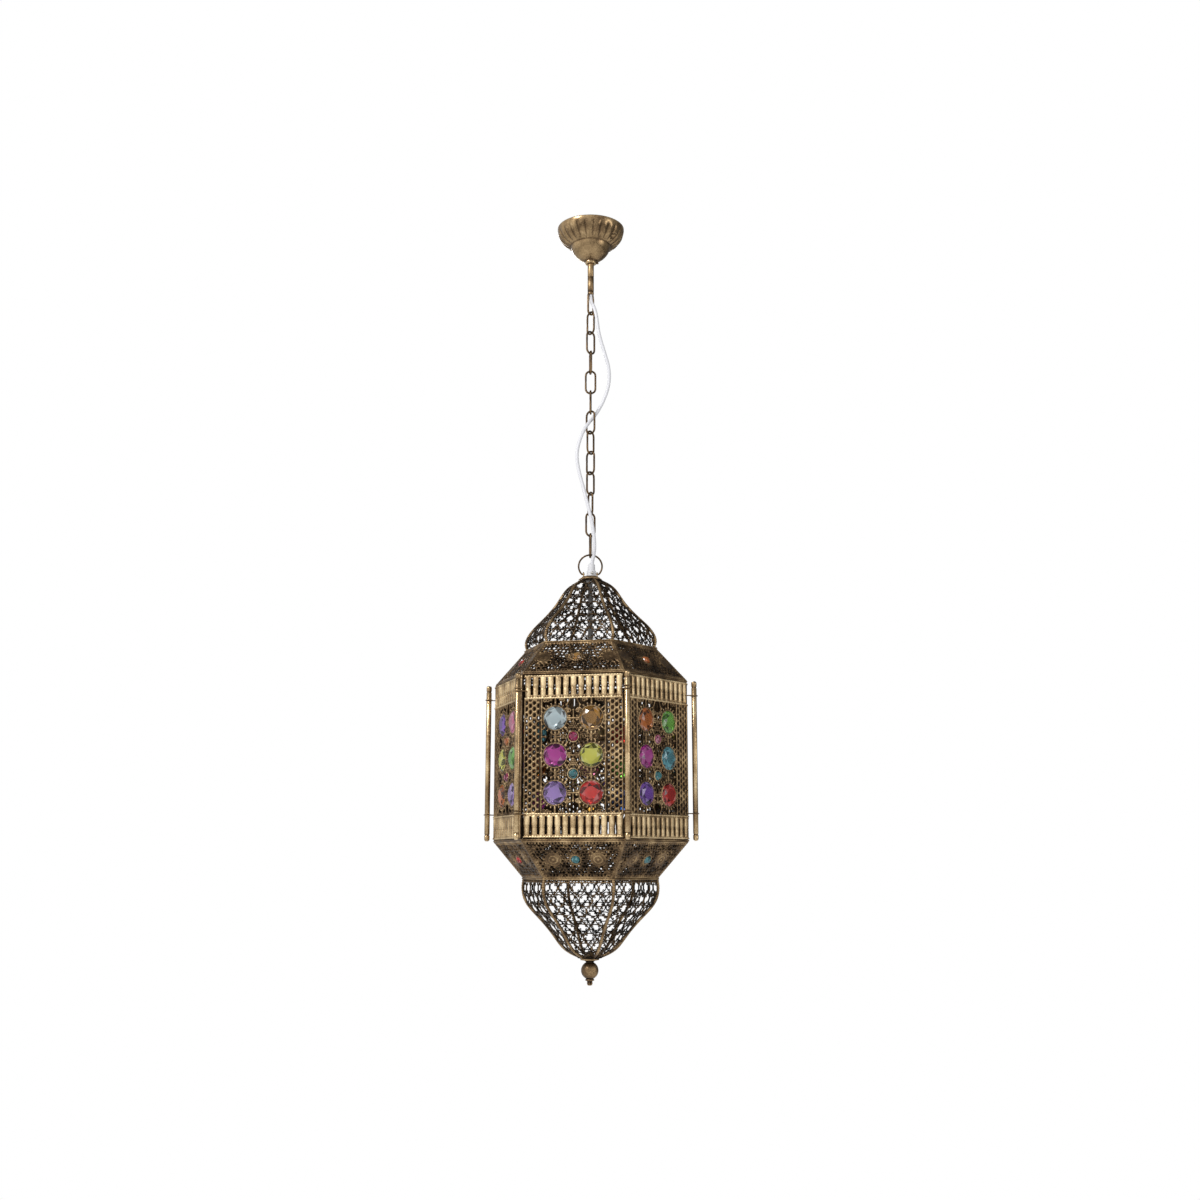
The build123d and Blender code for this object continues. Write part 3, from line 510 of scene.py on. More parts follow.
class Lace:
    """A casting drawn flat, in millimetres: depth is how far inside the metal a point lies, and crest how high
    its front is there."""

    def __init__(self, half_width, low, high, step):
        count = int(round(half_width / step)) + 2
        self.x = np.arange(-count, count + 1) * step
        self.y = np.arange(low - 2 * step, high + 2.5 * step, step)
        self.gx, self.gy = np.meshgrid(self.x, self.y)
        self.depth = np.full(self.gx.shape, -step)
        self.crest = np.zeros(self.gx.shape)
        self.step = step

    def window(self, x0, x1, y0, y1):
        """The part of the grid that holds a box."""
        i0, i1 = np.searchsorted(self.x, (x0 - self.step, x1 + self.step))
        j0, j1 = np.searchsorted(self.y, (y0 - self.step, y1 + self.step))
        return slice(j0, j1), slice(i0, i1)

    def put(self, where, inside, reach, height, base=0.0):
        """Metal: inside is the distance from its edge, reach the distance over which it rises by height."""
        np.maximum(self.depth[where], inside, out=self.depth[where])
        t = np.clip(inside / reach, 0, 1)
        rise = np.where(inside > 0, base + height * np.sqrt(1 - (1 - t) ** 2), 0)
        np.maximum(self.crest[where], rise, out=self.crest[where])

    def stroke(self, points, half, height=0.8, base=0.0, end_half=None):
        points = np.asarray(points, float)
        halves = np.linspace(half, half if end_half is None else end_half, len(points))
        for (ax, ay), (bx, by), h0, h1 in zip(points, points[1:], halves, halves[1:]):
            most = max(h0, h1)
            (x0, x1), (y0, y1) = sorted((ax, bx)), sorted((ay, by))
            where = self.window(x0 - most, x1 + most, y0 - most, y1 + most)
            px, py = self.gx[where] - ax, self.gy[where] - ay
            dx, dy = bx - ax, by - ay
            t = np.clip((px * dx + py * dy) / max(dx * dx + dy * dy, 1e-9), 0, 1)
            r = h0 + (h1 - h0) * t
            self.put(where, r - np.hypot(px - t * dx, py - t * dy), r, height, base)

    def disc(self, x, y, radius, height=0.8, base=0.0, reach=None):
        where = self.window(x - radius, x + radius, y - radius, y + radius)
        away = np.hypot(self.gx[where] - x, self.gy[where] - y)
        self.put(where, radius - away, reach or radius, height, base)

    def ring(self, x, y, radius, half, height=0.8, base=0.0):
        r = radius + half
        where = self.window(x - r, x + r, y - r, y + r)
        away = np.hypot(self.gx[where] - x, self.gy[where] - y)
        self.put(where, half - np.abs(away - radius), half, height, base)

    def bar(self, x0, x1, y0, y1, height=0.0, base=0.0, reach=0.8):
        where = self.window(x0, x1, y0, y1)
        gx, gy = self.gx[where], self.gy[where]
        inside = np.minimum(np.minimum(gx - x0, x1 - gx), np.minimum(gy - y0, y1 - gy))
        self.put(where, inside, reach, height, base)

    def scroll(self, spiral, shift, flip, half, height, base):
        """A stroke along a spiral that is moved by shift and then mirrored by flip."""
        self.stroke((spiral + shift) * flip, half, height, base)

    def round_about(self, x, y, count, start=0.0):
        """Points at even angles round x, y, as a function of the distance from it."""
        angles = [2 * pi * (k + start) / count for k in range(count)]
        return [lambda far, a=a: (x + far * cos(a), y + far * sin(a)) for a in angles]

    def petal(self, x, y, turn, length, half, height=0.8, base=0.0):
        """A leaf from x, y, widest in the middle."""
        t = np.linspace(0, 1, 7)
        points = np.c_[x + cos(radians(turn)) * length * t, y + sin(radians(turn)) * length * t]
        widths = half * (0.35 + 0.65 * np.sin(pi * t))
        for a, b, h in zip(points, points[1:], (widths[1:] + widths[:-1]) / 2):
            self.stroke([a, b], h, height, base)

    def flower(self, x, y, radius, petals=5, height=0.9, base=0.0, turn=90):
        for k in range(petals):
            a = radians(turn + k * 360 / petals)
            far = radius * 0.58
            self.disc(x + far * cos(a), y + far * sin(a), radius * 0.42, height * 0.8, base)
        self.disc(x, y, radius * 0.36, height, base + 0.1)

    def cut(self, where, hole):
        np.minimum(self.depth[where], -hole, out=self.depth[where])

    def drill(self, x, y, rx, ry=None, turn=0.0):
        ry = ry or rx
        r = max(rx, ry)
        where = self.window(x - r, x + r, y - r, y + r)
        px, py = self.gx[where] - x, self.gy[where] - y
        c, s = cos(radians(turn)), sin(radians(turn))
        self.cut(where, (1 - np.hypot((px * c + py * s) / rx, (py * c - px * s) / ry)) * min(rx, ry))

    def keep(self, inside):
        """Trim the whole sheet to where inside is positive."""
        np.minimum(self.depth, inside, out=self.depth)

    def emboss(self, change, where=None):
        where = where or (slice(None), slice(None))
        self.crest[where] = np.maximum(self.crest[where] + change, 0.02)

    def mesh(self, back, place, edge=0.8, tallest=None):
        """The closed casting: place(x, y, z) bends the flat sheet to its real form."""
        depth = np.where(np.abs(self.depth) < 1e-3, -1e-3, self.depth)
        depth[0], depth[-1], depth[:, 0], depth[:, -1] = -self.step, -self.step, -self.step, -self.step
        crest = self.crest * np.sqrt(np.clip(depth / edge, 0, 1))
        rows, columns = depth.shape
        inside = depth > 0
        corner = np.arange(rows * columns).reshape(rows, columns)
        flat_base = rows * columns
        upright_base = flat_base + rows * (columns - 1)
        flat = flat_base + np.arange(rows * (columns - 1)).reshape(rows, columns - 1)
        upright = upright_base + np.arange((rows - 1) * columns).reshape(rows - 1, columns)
        refs = {
            "c0": corner[:-1, :-1], "c1": corner[:-1, 1:], "c2": corner[1:, 1:], "c3": corner[1:, :-1],
            "e0": flat[:-1], "e2": flat[1:], "e3": upright[:, :-1], "e1": upright[:, 1:],
        }
        case = inside[:-1, :-1] + 2 * inside[:-1, 1:] + 4 * inside[1:, 1:] + 8 * inside[1:, :-1]
        polygons, walls = {3: [], 4: [], 5: []}, []
        for number, shapes in CASES.items():
            cells = case == number
            if not cells.any():
                continue
            for shape in shapes:
                polygons[len(shape)].append(np.stack([refs[r][cells] for r in shape], 1))
                for a, b in zip(shape, shape[1:] + shape[:1]):
                    if a[0] == "e" and b[0] == "e":
                        walls.append(np.stack([refs[a][cells], refs[b][cells]], 1))
        fx = depth[:, :-1] / (depth[:, :-1] - depth[:, 1:] + 1e-12)
        fy = depth[:-1] / (depth[:-1] - depth[1:] + 1e-12)
        fx, fy = np.clip(fx, 0.04, 0.96), np.clip(fy, 0.04, 0.96)
        x_parts = (self.gx, self.gx[:, :-1] + fx * self.step, self.gx[:-1])
        y_parts = (self.gy, self.gy[:, :-1], self.gy[:-1] + fy * self.step)
        x, y = (np.concatenate([part.ravel() for part in parts]) for parts in (x_parts, y_parts))
        z = np.concatenate([crest.ravel(), np.zeros(len(x) - crest.size)])
        faces = {k: np.concatenate(v) for k, v in polygons.items() if v}
        walls = np.concatenate(walls)
        used = np.unique(np.concatenate([f.ravel() for f in faces.values()]))
        renumber = np.zeros(len(x), np.int64)
        renumber[used] = np.arange(len(used))
        x, y, z = x[used], y[used], z[used]
        count = len(used)
        faces = {k: renumber[f] for k, f in faces.items()}
        walls = renumber[walls]
        # the relief that the brass materials turn into patina and wear, and into painted shade in the hollows and
        # painted highlights on the crests
        relief = z / (tallest or max(z.max(), 1e-6))
        vertices = np.concatenate([place(x, y, z), place(x, y, np.full(count, -float(back)))])
        out = [f for f in faces.values()] + [f[:, ::-1] + count for f in faces.values()]
        out.append(np.stack([walls[:, 0], walls[:, 0] + count, walls[:, 1] + count, walls[:, 1]], 1))
        relief = np.concatenate([relief, np.full(count, 0.25)])
        return vertices, out, np.clip(relief, 0, 1)


def coil(x, y, r0, r1, start, turns, count=16):
    """Points of a scroll round x, y."""
    t = np.linspace(0, 1, count)
    a = np.radians(start + turns * 360 * t)
    r = r0 + (r1 - r0) * t
    return np.c_[x + r * np.cos(a), y + r * np.sin(a)]


def bow(a, b, bulge, count=9):
    """Points of a shallow arc from a to b that bulges to the left by bulge."""
    a, b = np.array(a, float), np.array(b, float)
    t = np.linspace(0, 1, count)[:, None]
    side = np.array([-(b - a)[1], (b - a)[0]])
    side = side / np.linalg.norm(side)
    return a + (b - a) * t + side * bulge * 4 * t * (1 - t)


# ---- gem panels ----
back_low, back_high = box_mm("panel_back")
PANEL_PROUD = 2.5
body_apothem = back_high.y - PANEL_PROUD
body_top, body_bottom = back_high.z, back_low.z
body_middle = (body_top + body_bottom) / 2
PANEL_BACK = 1.5
PANEL_HALF = 53.6
GALLERY = 25.0
COLUMN, ROW = 19.5, 39.3
BIG_GEM, SMALL_GEM = 12.5, 5.0


def gem_bezel(sheet, x, y):
    """A ring with rounded teeth all round it."""
    sheet.ring(x, y, BIG_GEM + 0.35, 0.55, 0.8, 1.2)
    sheet.ring(x, y, BIG_GEM + 1.7, 0.9, 0.05, 0.0)
    for tooth in sheet.round_about(x, y, 22, 0.5):
        sheet.stroke([tooth(BIG_GEM + 1.9), tooth(BIG_GEM + 3.0)], 0.75, 0.6, 0.5)
        sheet.disc(*tooth(BIG_GEM + 3.3), 1.15, 0.8, 0.6)


def rosette(sheet, y):
    """A small gem's rays, the coils beside it, the scaled mound above it and the loops below."""
    sheet.ring(0, y, SMALL_GEM + 0.7, 0.75, 0.7, 0.9)
    for ray in sheet.round_about(0, y, 14, 0.5):
        sheet.stroke([ray(SMALL_GEM + 1.0), ray(SMALL_GEM + 3.6)], 0.5, 0.5, 0.3)
        sheet.disc(*ray(SMALL_GEM + 3.6), 0.85, 0.7, 0.5)
    for side in (-1, 1):
        sheet.scroll(coil(0, 0, 3.3, 0.9, 200, -1.35, 20), (11.0, y), (side, 1), 0.62, 0.6, 0.4)
        sheet.disc(side * 11.0, y, 0.9, 0.7, 0.5)
        sheet.stroke([(side * 13.5, y), (side * COLUMN, y)], 0.9, 0.5, 0.4)
        for up in (-1, 1):
            sheet.stroke([(side * 6.0, y + up * 6.0), (side * 9.0, y + up * 9.0)], 1.0, 0.6, 0.4)
            sprig = [(side * 7.6, y + up * 3.6), (side * 12.0, y + up * 5.4), (side * 14.0, y + up * 5.0)]
            sheet.stroke(sprig, 0.6, 0.5, 0.3)
        sheet.stroke(coil(side * 2.6, y - 12.4, 2.1, 2.1, 0, 1, 14), 0.6, 0.5, 0.3)
        sheet.stroke([(side * 2.6, y - 14.2), (side * 2.0, y - 19.4)], 0.7, 0.5, 0.4)
    sheet.disc(0, y - 9.6, 1.1, 0.6, 0.4)
    for row, count in enumerate((5, 4, 3, 2)):
        for k in range(count):
            sheet.disc((k - (count - 1) / 2) * 2.3, y + 9.4 + row * 2.1, 1.25, 0.9, 0.3)
    sheet.stroke([(0, y + 15.5), (0, y + 19.4)], 1.0, 0.6, 0.4)
    arch = bow((6.2, y + 8.6), (-6.2, y + 8.6), 9.0, 15)
    sheet.stroke(arch, 0.6, 0.5, 0.5)


def strap(sheet, x, y, half_length):
    """An upright link of beads between two bezels, with scalloped edges."""
    sheet.bar(x - 1.5, x + 1.5, y - half_length, y + half_length, 0.3, 0.3)
    for k in (-2, -1, 0, 1, 2):
        sheet.disc(x, y + k * 1.9, 1.1, 0.7, 0.4)
    for side in (-1, 1):
        for up in (-1, 1):
            sheet.disc(x + side * 3.6, y + up * 3.4, 1.5, 0.6, 0.3)
            sheet.stroke([(x + side * 1.2, y + up * 1.6), (x + side * 3.6, y + up * 3.4)], 0.8, 0.5, 0.3)
            spiral = (coil(0, 0, 1.9, 0.6, 250, -1.0, 12) + (5.6, 1.4)) * (side, up)
            sheet.stroke(spiral + (x, y), 0.5, 0.5, 0.3)


def side_band(sheet, side, half):
    """The chain-like lattice of long holes between a panel's edge and its window."""
    inner, outer = 35.0, PANEL_HALF
    sheet.bar(*sorted((side * inner, side * outer)), -half, half, 0.15, 0.05)
    rng = np.random.default_rng(12)
    pitch = 6.6
    count = int(half / pitch)
    columns = (37.9, 42.3, 46.7, 51.0)
    for column, x in enumerate(columns):
        for k in range(-count - 1, count + 2):
            y = (k + 0.5 * (column % 2)) * pitch + rng.uniform(-0.3, 0.3)
            rx, ry = rng.uniform(0.6, 1.0), rng.uniform(1.3, 2.2)
            if abs(y) < half - 2.6:
                sheet.drill(side * x, y, rx, ry)
            if abs(y + pitch / 2) < half - 1.5:
                sheet.disc(side * x, y + pitch / 2, 1.35, 0.8, 0.5)
    for column in range(3):
        x = (columns[column] + columns[column + 1]) / 2
        y = np.arange(-half, half + 0.1, 0.8)
        wave = np.cos(y * 2 * pi / pitch + pi * column) * 0.55
        sheet.stroke(np.c_[side * (x + wave), y], 0.9, 0.7, 0.45)
    for x in (PANEL_HALF - 0.8, 34.4):
        sheet.bar(*sorted((side * (x - 0.8), side * (x + 0.8))), -half, half, 0.9, 0.4, 0.7)


def gallery(sheet, middle):
    """A row of bulged balusters between two mouldings."""
    count, half = 13, 10.6
    pitch = 2 * PANEL_HALF / count
    for k in range(count):
        x = (k - (count - 1) / 2) * pitch
        sheet.stroke([(x, middle + 1.5), (x, middle + half - 2.2)], 3.5, 1.7, 0.3)
        sheet.stroke([(x, middle - half + 1.5), (x, middle - 3.4)], 3.2, 1.3, 0.6)
        sheet.stroke([(x, middle - 3.0), (x, middle + 1.0)], 2.5, 0.8, 0.5)
        for side in (-1, 1):
            sheet.disc(x + side * 2.2, middle - 0.9, 0.95, 0.9, 0.9)
        sheet.disc(x, middle - 0.9, 1.0, 1.0, 1.0)
        for row in range(3):
            sheet.disc(x, middle - 4.2 - row * 2.1, 0.8, 0.55, 1.65)
        swag = [(x - pitch / 2, middle + half), (x, middle + half - 1.6), (x + pitch / 2, middle + half)]
        sheet.stroke(swag, 0.9, 0.8, 0.9)
        sheet.disc(x + pitch / 2, middle - half + 0.6, 1.5, 0.8, 0.5)


def moulding(sheet, y, half, tall):
    """A roped bar across the panel."""
    sheet.bar(-PANEL_HALF, PANEL_HALF, y - half, y + half, tall, 0.6, half)
    where = sheet.window(-PANEL_HALF, PANEL_HALF, y - half, y + half)
    gx, gy = sheet.gx[where], sheet.gy[where]
    twist = np.sin((gx + (gy - y) * 1.3) * 2 * pi / 3.0)
    sheet.emboss(np.where(np.abs(gy - y) < half, 0.28 * twist - 0.2, 0), where)


def panel_sheet(half_height):
    sheet = Lace(PANEL_HALF, -half_height, half_height, 0.57)
    window = half_height - GALLERY
    for side in (-1, 1):
        side_band(sheet, side, window)
    for row in (-1, 0, 1):
        for side in (-1, 1):
            gem_bezel(sheet, side * COLUMN, row * ROW)
        sheet.stroke([(-COLUMN + 13, row * ROW), (COLUMN - 13, row * ROW)], 1.1, 0.6, 0.5)
        for side in (-1, 1):
            sheet.disc(side * 3.4, row * ROW - 2.2, 1.4, 0.5, 0.4)
    for up in (-1, 1):
        rosette(sheet, up * ROW / 2)
        for side in (-1, 1):
            strap(sheet, side * COLUMN, up * ROW / 2, 5.0)
            sheet.stroke([(side * COLUMN, up * (ROW + 15)), (side * COLUMN, up * window)], 1.2, 0.6, 0.4)
            sheet.scroll(coil(0, 0, 2.5, 0.8, 0, 1.3, 18), (4.6, ROW + 8.0), (side, up), 0.8, 0.6, 0.4)
            stem = np.array([(5.6, ROW + 9.5), (7.4, ROW + 14), (5.0, ROW + 18), (3.2, window)])
            sheet.stroke(stem * (side, up), 0.85, 0.6, 0.4)
            sheet.disc(side * 7.4, up * (ROW + 14), 1.5, 0.6, 0.4)
            spiral = coil(0, 0, 2.3, 0.7, 90, 1.1, 14)
            for x, turn in ((11.5, 1), (27.5, -1), (31.2, 1)):
                sheet.scroll(spiral * (turn, 1), (x, window - 2.6), (side, up), 0.75, 0.6, 0.4)
            sheet.disc(side * 14.5, up * (window - 2.2), 1.6, 0.6, 0.4)
            sheet.disc(side * 24.2, up * (window - 2.2), 1.6, 0.6, 0.4)
            sheet.stroke([(side * 29.5, up * (ROW / 2)), (side * 34.5, up * (ROW / 2))], 0.9, 0.6, 0.4)
            sheet.disc(side * 30.0, up * ROW / 2, 1.7, 0.7, 0.4)
        sheet.stroke([(0, up * ROW), (0, up * (ROW + 8))], 0.9, 0.6, 0.4)
        sheet.disc(0, up * (ROW + 8.5), 1.5, 0.7, 0.4)
    for side in (-1, 1):
        for row in (-1, 0, 1):
            for up in (1, -1):
                strut = [(side * 31.0, row * ROW + up * 10.5), (side * 34.5, row * ROW + up * 12.5)]
                sheet.stroke(strut, 0.8, 0.6, 0.4)
    gallery_middle = half_height - GALLERY / 2
    gallery(sheet, gallery_middle - 0.2)
    gallery(sheet, -gallery_middle + 0.2)
    for y in (half_height - 1.3, half_height - GALLERY, GALLERY - half_height, 1.3 - half_height):
        moulding(sheet, y, 1.3, 1.8)
    for side in (-1, 1):
        for row in (-1, 0, 1):
            sheet.drill(side * COLUMN, row * ROW, BIG_GEM - 0.1)
    for up in (-1, 1):
        sheet.drill(0, up * ROW / 2, SMALL_GEM - 0.1)
    sheet.keep(PANEL_HALF - np.abs(sheet.gx))
    sheet.keep(half_height - np.abs(sheet.gy))
    return sheet


def on_face(x, y, z):
    """The flat front panel's place: x right, y up from the body's middle, z outward."""
    return np.stack([x, -(body_apothem + z), body_middle + y], 1)


def panel(name, half_height):
    vertices, faces, relief = panel_sheet(half_height).mesh(PANEL_BACK, on_face, 0.7, 2.4)
    return build(name, vertices, faces, panel_brass, True, relief)


back_panel = panel("lace_panel_back", (body_top - body_bottom) / 2)
back_panel.rotation_euler = (0, 0, pi)
door_low, door_high = box_mm("panel_front")
door_panel = panel("lace_panel_front", (door_high.z - door_low.z) / 2)
for i, face in enumerate(FACES):
    made = {"back": back_panel, "front": door_panel}
    thing = made.get(face) or twin(back_panel, "lace_panel_" + face, 60 * i)
    fit(thing, "door" if face == "front" else "lantern", "panel_" + face)

# ---- gems ----
GEM_FRONT = 3.7
# column by column from the top: left, right, and the small ones of the middle
GEM_LAYOUT = {
    "front": ["clear", "magenta", "lilac", "amber", "yellow", "red", "ruby", "teal"],
    "front_right": ["orange", "magenta", "violet", "green", "aqua", "red", "pink", "teal"],
    "back_right": ["yellow", "aqua", "red", "magenta", "orange", "green", "teal", "ruby"],
    "back": ["red", "green", "blue", "clear", "pink", "amber", "amber", "violet"],
    "back_left": ["aqua", "orange", "magenta", "red", "violet", "yellow", "ruby", "teal"],
    "front_left": ["violet", "yellow", "orange", "pink", "green", "lilac", "orange", "ruby"],
}


def cut_gem(radius, front, back, sides=16):
    """A round cut stone: a table and two rows of crown facets in front of the girdle, a shallow pavilion behind."""
    rings = [
        (0.56, front, 0.5, sides // 2),
        (0.84, front * 0.62, 0.0, sides // 2),
        (1.0, front * 0.12, 0.25, sides),
        (1.0, -front * 0.12, 0.25, sides),
        (0.45, -back, 0.0, sides // 2),
    ]
    vertices, starts = [], []
    for share, z, shift, count in rings:
        starts.append(len(vertices))
        for k in range(count):
            a = (k + shift * (2 if count == sides else 1)) * 2 * pi / count
            vertices.append((radius * share * cos(a), radius * share * sin(a), z))
    half = sides // 2
    quads, triangles = [], []
    table, star, girdle, lower, culet = starts
    for k in range(half):
        n = (k + 1) % half
        # the table's corners stand half a step round from the star ring's
        triangles.append((star + k, table + k, table + (k - 1) % half))
        triangles.append((star + k, star + n, table + k))
        left, right = girdle + (2 * k - 1) % sides, girdle + 2 * k
        triangles.append((star + k, left, right))
        triangles.append((star + k, right, girdle + (2 * k + 1) % sides))
        triangles.append((star + k, girdle + (2 * k + 1) % sides, star + n))
        triangles.append((culet + k, lower + 2 * k, lower + (2 * k - 1) % sides))
        triangles.append((culet + k, lower + (2 * k + 1) % sides, lower + 2 * k))
        triangles.append((culet + k, culet + n, lower + (2 * k + 1) % sides))
    for k in range(sides):
        n = (k + 1) % sides
        quads.append((girdle + k, lower + k, lower + n, girdle + n))
    caps = [[table + k for k in range(half)], [culet + k for k in range(half)][::-1]]
    return np.array(vertices), [np.array(triangles), np.array(quads), np.array(caps)]


def gem_matrix(azimuth, x, y, height):
    """On a face: the stone's z points outward."""
    return turned(azimuth) @ moved(x, -(body_apothem + height), body_middle + y) @ UPRIGHT


def paint_facet_shading(thing, seed):
    """Painted shade and painted highlights facet by facet: the small facets get random dark or light values, and
    the tables stay clear.
    """
    rng = np.random.default_rng(seed)
    polygons = thing.data.polygons
    facet_shades = rng.choice([0.08, 0.3, 0.55, 0.7, 0.9], len(polygons), p=[0.24, 0.24, 0.24, 0.18, 0.10])
    sizes = np.empty(len(polygons), np.int32)
    polygons.foreach_get("loop_total", sizes)
    tables = sizes > 4
    facet_shades[tables] = rng.uniform(0.35, 0.68, tables.sum())
    attribute = thing.data.attributes.new("tone", "FLOAT", "FACE")
    attribute.data.foreach_set("value", facet_shades.astype(np.float32))


GIRDLE = 0.6
for i, face in enumerate(FACES):
    names = GEM_LAYOUT[face]
    places = [(x, y) for x in (-COLUMN, COLUMN) for y in (ROW, 0, -ROW)] + [(0, ROW / 2), (0, -ROW / 2)]
    stones = Parts()
    used = list(dict.fromkeys(names))
    for k, ((x, y), name) in enumerate(zip(places, names)):
        size, front, sides = (BIG_GEM, GEM_FRONT - GIRDLE, 16) if k < 6 else (SMALL_GEM, 3.4, 12)
        vertices, faces = cut_gem(size - 0.05, front, 2.1, sides)
        matrix = gem_matrix(60 * i, x, y, GIRDLE) @ turned(11 * k)
        stones.add(vertices, faces, index=used.index(name), matrix=matrix)
    stone_set = stones.object("stones_" + face, [gem_materials[name] for name in used], smooth=False)
    # painted shade and painted highlights on the facets
    paint_facet_shading(stone_set, 50 + i)
    fit(stone_set, "door" if face == "front" else "lantern", "gems_" + face)


# ---- dome and bowl ----
def smooth_curve(points, count=240):
    """A cubic spline through points, as distance along it, the points and its tangents."""
    p = np.array(points, float)
    t = in_turn(p)
    n, h = len(t), np.diff(t)
    system, known = np.zeros((n, n)), np.zeros((n, 2))
    system[0, 0] = system[-1, -1] = 1
    for i in range(1, n - 1):
        system[i, i - 1 : i + 2] = h[i - 1], 2 * (h[i - 1] + h[i]), h[i]
        known[i] = 6 * ((p[i + 1] - p[i]) / h[i] - (p[i] - p[i - 1]) / h[i - 1])
    second = np.linalg.solve(system, known)
    u = np.linspace(0, t[-1], count)
    k = np.clip(np.searchsorted(t, u, side="right") - 1, 0, n - 2)
    a, b, w = (t[k + 1] - u)[:, None], (u - t[k])[:, None], h[k][:, None]
    q = (second[k] * a**3 + second[k + 1] * b**3) / (6 * w)
    q += (p[k] / w - second[k] * w / 6) * a + (p[k + 1] / w - second[k + 1] * w / 6) * b
    along = in_turn(q)
    tangent = np.gradient(q, along, axis=0)
    tangent /= np.linalg.norm(tangent, axis=1)[:, None]
    return along, q, tangent


DOME_CURVE = [(74, 0), (76.5, 9), (72, 21), (58, 36), (38.5, 58), (27.6, 73), (11, 83)]
BOWL_CURVE = [(76, 0), (77.3, 11), (75, 23), (60, 42), (41.3, 63), (29.5, 77), (12.5, 86)]
dome_bottom = box_mm("dome_frame")[0].z
bowl_low, bowl_high = box_mm("bowl_frame")
LACE_SINK = 0.7
PETAL_BACK = 0.35
RIB_RADIUS = 1.7


def petal_lattice(sheet, half_at, length, pitch, ring, seed):
    """Staggered rings with scrolls curling into each, and small flowers where they meet."""
    rng = np.random.default_rng(seed)
    rise = pitch * 0.87
    rows = int(length / rise) + 1
    for row in range(rows + 1):
        y = 4.2 + ring + row * rise
        wide = half_at(min(y, length))
        for k in range(-5, 6):
            x = (k + 0.5 * (row % 2)) * pitch
            if abs(x) > wide + ring or y > length + ring:
                continue
            mirror = 1 if x >= 0 else -1
            jitter = rng.uniform(-0.6, 0.6, 3)
            x, y0 = x + jitter[0] * (x != 0), y + jitter[1]
            sheet.ring(x, y0, ring + 0.5 * jitter[2], 0.55, 0.6, 0.15)
            for turn in (45, 135, 225, 315):
                a = radians(turn + rng.uniform(-9, 9) * mirror)
                cx, cy = x + (ring - 1.2) * cos(a), y0 + (ring - 1.2) * sin(a)
                curl = 1 if (turn in (45, 225)) == (mirror > 0) else -1
                sheet.stroke(coil(cx, cy, 1.15, 0.6, turn + 10 * curl, curl * 0.8, 9), 0.42, 0.5, 0.15)
            sheet.flower(x + pitch / 2, y, 1.7, 4, 0.7, 0.25, 45)
            if row % 2 == 0:
                sheet.flower(x, y + rise * 0.62, 1.4, 5, 0.6, 0.25)


def petal_sheet(curve, pitch, ring, fringe, seed):
    flat = [(radius * TO_APOTHEM, rise) for radius, rise in curve]
    along, points, tangent = smooth_curve(flat)
    length = along[-1]

    def half_at(y):
        return np.interp(y, along, points[:, 0]) * tan(radians(30)) - RIB_RADIUS * 0.6

    sheet = Lace(half_at(along).max(), 0, length, 0.5)
    petal_lattice(sheet, half_at, length, pitch, ring, seed)
    edge = np.arange(0, length, 1.6)
    for side in (-1, 1):
        sheet.stroke(np.c_[side * half_at(edge), edge], 0.9, 0.6, 0.1)
    wide = half_at(0.0) + 6
    sheet.bar(-wide, wide, 0, 1.2 if fringe else 2.0, 0.5, 0.2)
    if fringe:
        sheet.stroke([(-wide, 4.4), (wide, 4.4)], 0.55, 0.6, 0.3)
        for k in range(-12, 13):
            sheet.stroke([(k * 3.2, 1.0), (k * 3.2, 4.2)], 0.62, 0.5, 0.2)
    sheet.keep(half_at(sheet.gy) + 0.3 - np.abs(sheet.gx))
    sheet.keep(np.minimum(sheet.gy, length - sheet.gy))
    return sheet, along, points, tangent


def storey(name, curve, wide_end, direction, pitch, ring, fringe, seed, material):
    sheet, along, points, tangent = petal_sheet(curve, pitch, ring, fringe, seed)

    def place(x, y, z):
        r = np.interp(y, along, points[:, 0])
        rise = np.interp(y, along, points[:, 1])
        tr, tz = np.interp(y, along, tangent[:, 0]), np.interp(y, along, tangent[:, 1])
        z = z - LACE_SINK
        return np.stack([x, -(r + z * tz), wide_end + direction * (rise - z * tr)], 1)

    vertices, faces, relief = sheet.mesh(PETAL_BACK, place, 0.5, 1.0)
    if direction < 0:
        faces = [f[:, ::-1] for f in faces]
    master = build(f"lace_{name}_front", vertices, faces, material, True, relief)
    for i, face in enumerate(FACES):
        petal = master if i == 0 else twin(master, f"lace_{name}_{face}", 60 * i)
        fit(petal, "lantern", f"{name}_{face}")
    # the ribs, a roped rim and the disc that closes the narrow end
    along, points, tangent = smooth_curve(curve, 90)
    frame_parts = Parts()
    inset = RIB_RADIUS - 0.1
    turns = zip(points, tangent)
    rib = [(0, -(p[0] - inset * t[1]), wide_end + direction * (p[1] + inset * t[0])) for p, t in turns]
    notch = rope(2.6, 0.13, 0)

    def rib_turns(distance, angle):
        fade = np.clip(1 - distance / 42, 0.12, 1)
        return 1 + (notch(distance, angle) - 1) * fade

    at_corners(frame_parts, *tube(even_steps(rib, 0.65), RIB_RADIUS, 10, twist=rib_turns))

    def height(rise):
        return wide_end + direction * rise

    rim = hexagon(SKIRT_RADIUS + 0.3, height(1.0), 0.8)
    frame_parts.add(*tube(rim, 1.0, 8, closed=True, twist=rope(3.2, 0.14)))
    frame_parts.add(*hex_plate(SKIRT_RADIUS - 0.2, SKIRT_RADIUS - 6, height(0.5), height(1.5)))
    end = curve[-1][1]
    disc = [(4.0, end), (4.0, end - 1.0), (13.3, end - 1.0), (13.5, end - 0.3), (13.2, end)]
    frame_parts.add(*lathe([(radius, height(rise)) for radius, rise in disc], 48))
    thing = frame_parts.object(f"ribs_{name}", plain_brass)
    fit(thing, "lantern", f"{name}_frame")


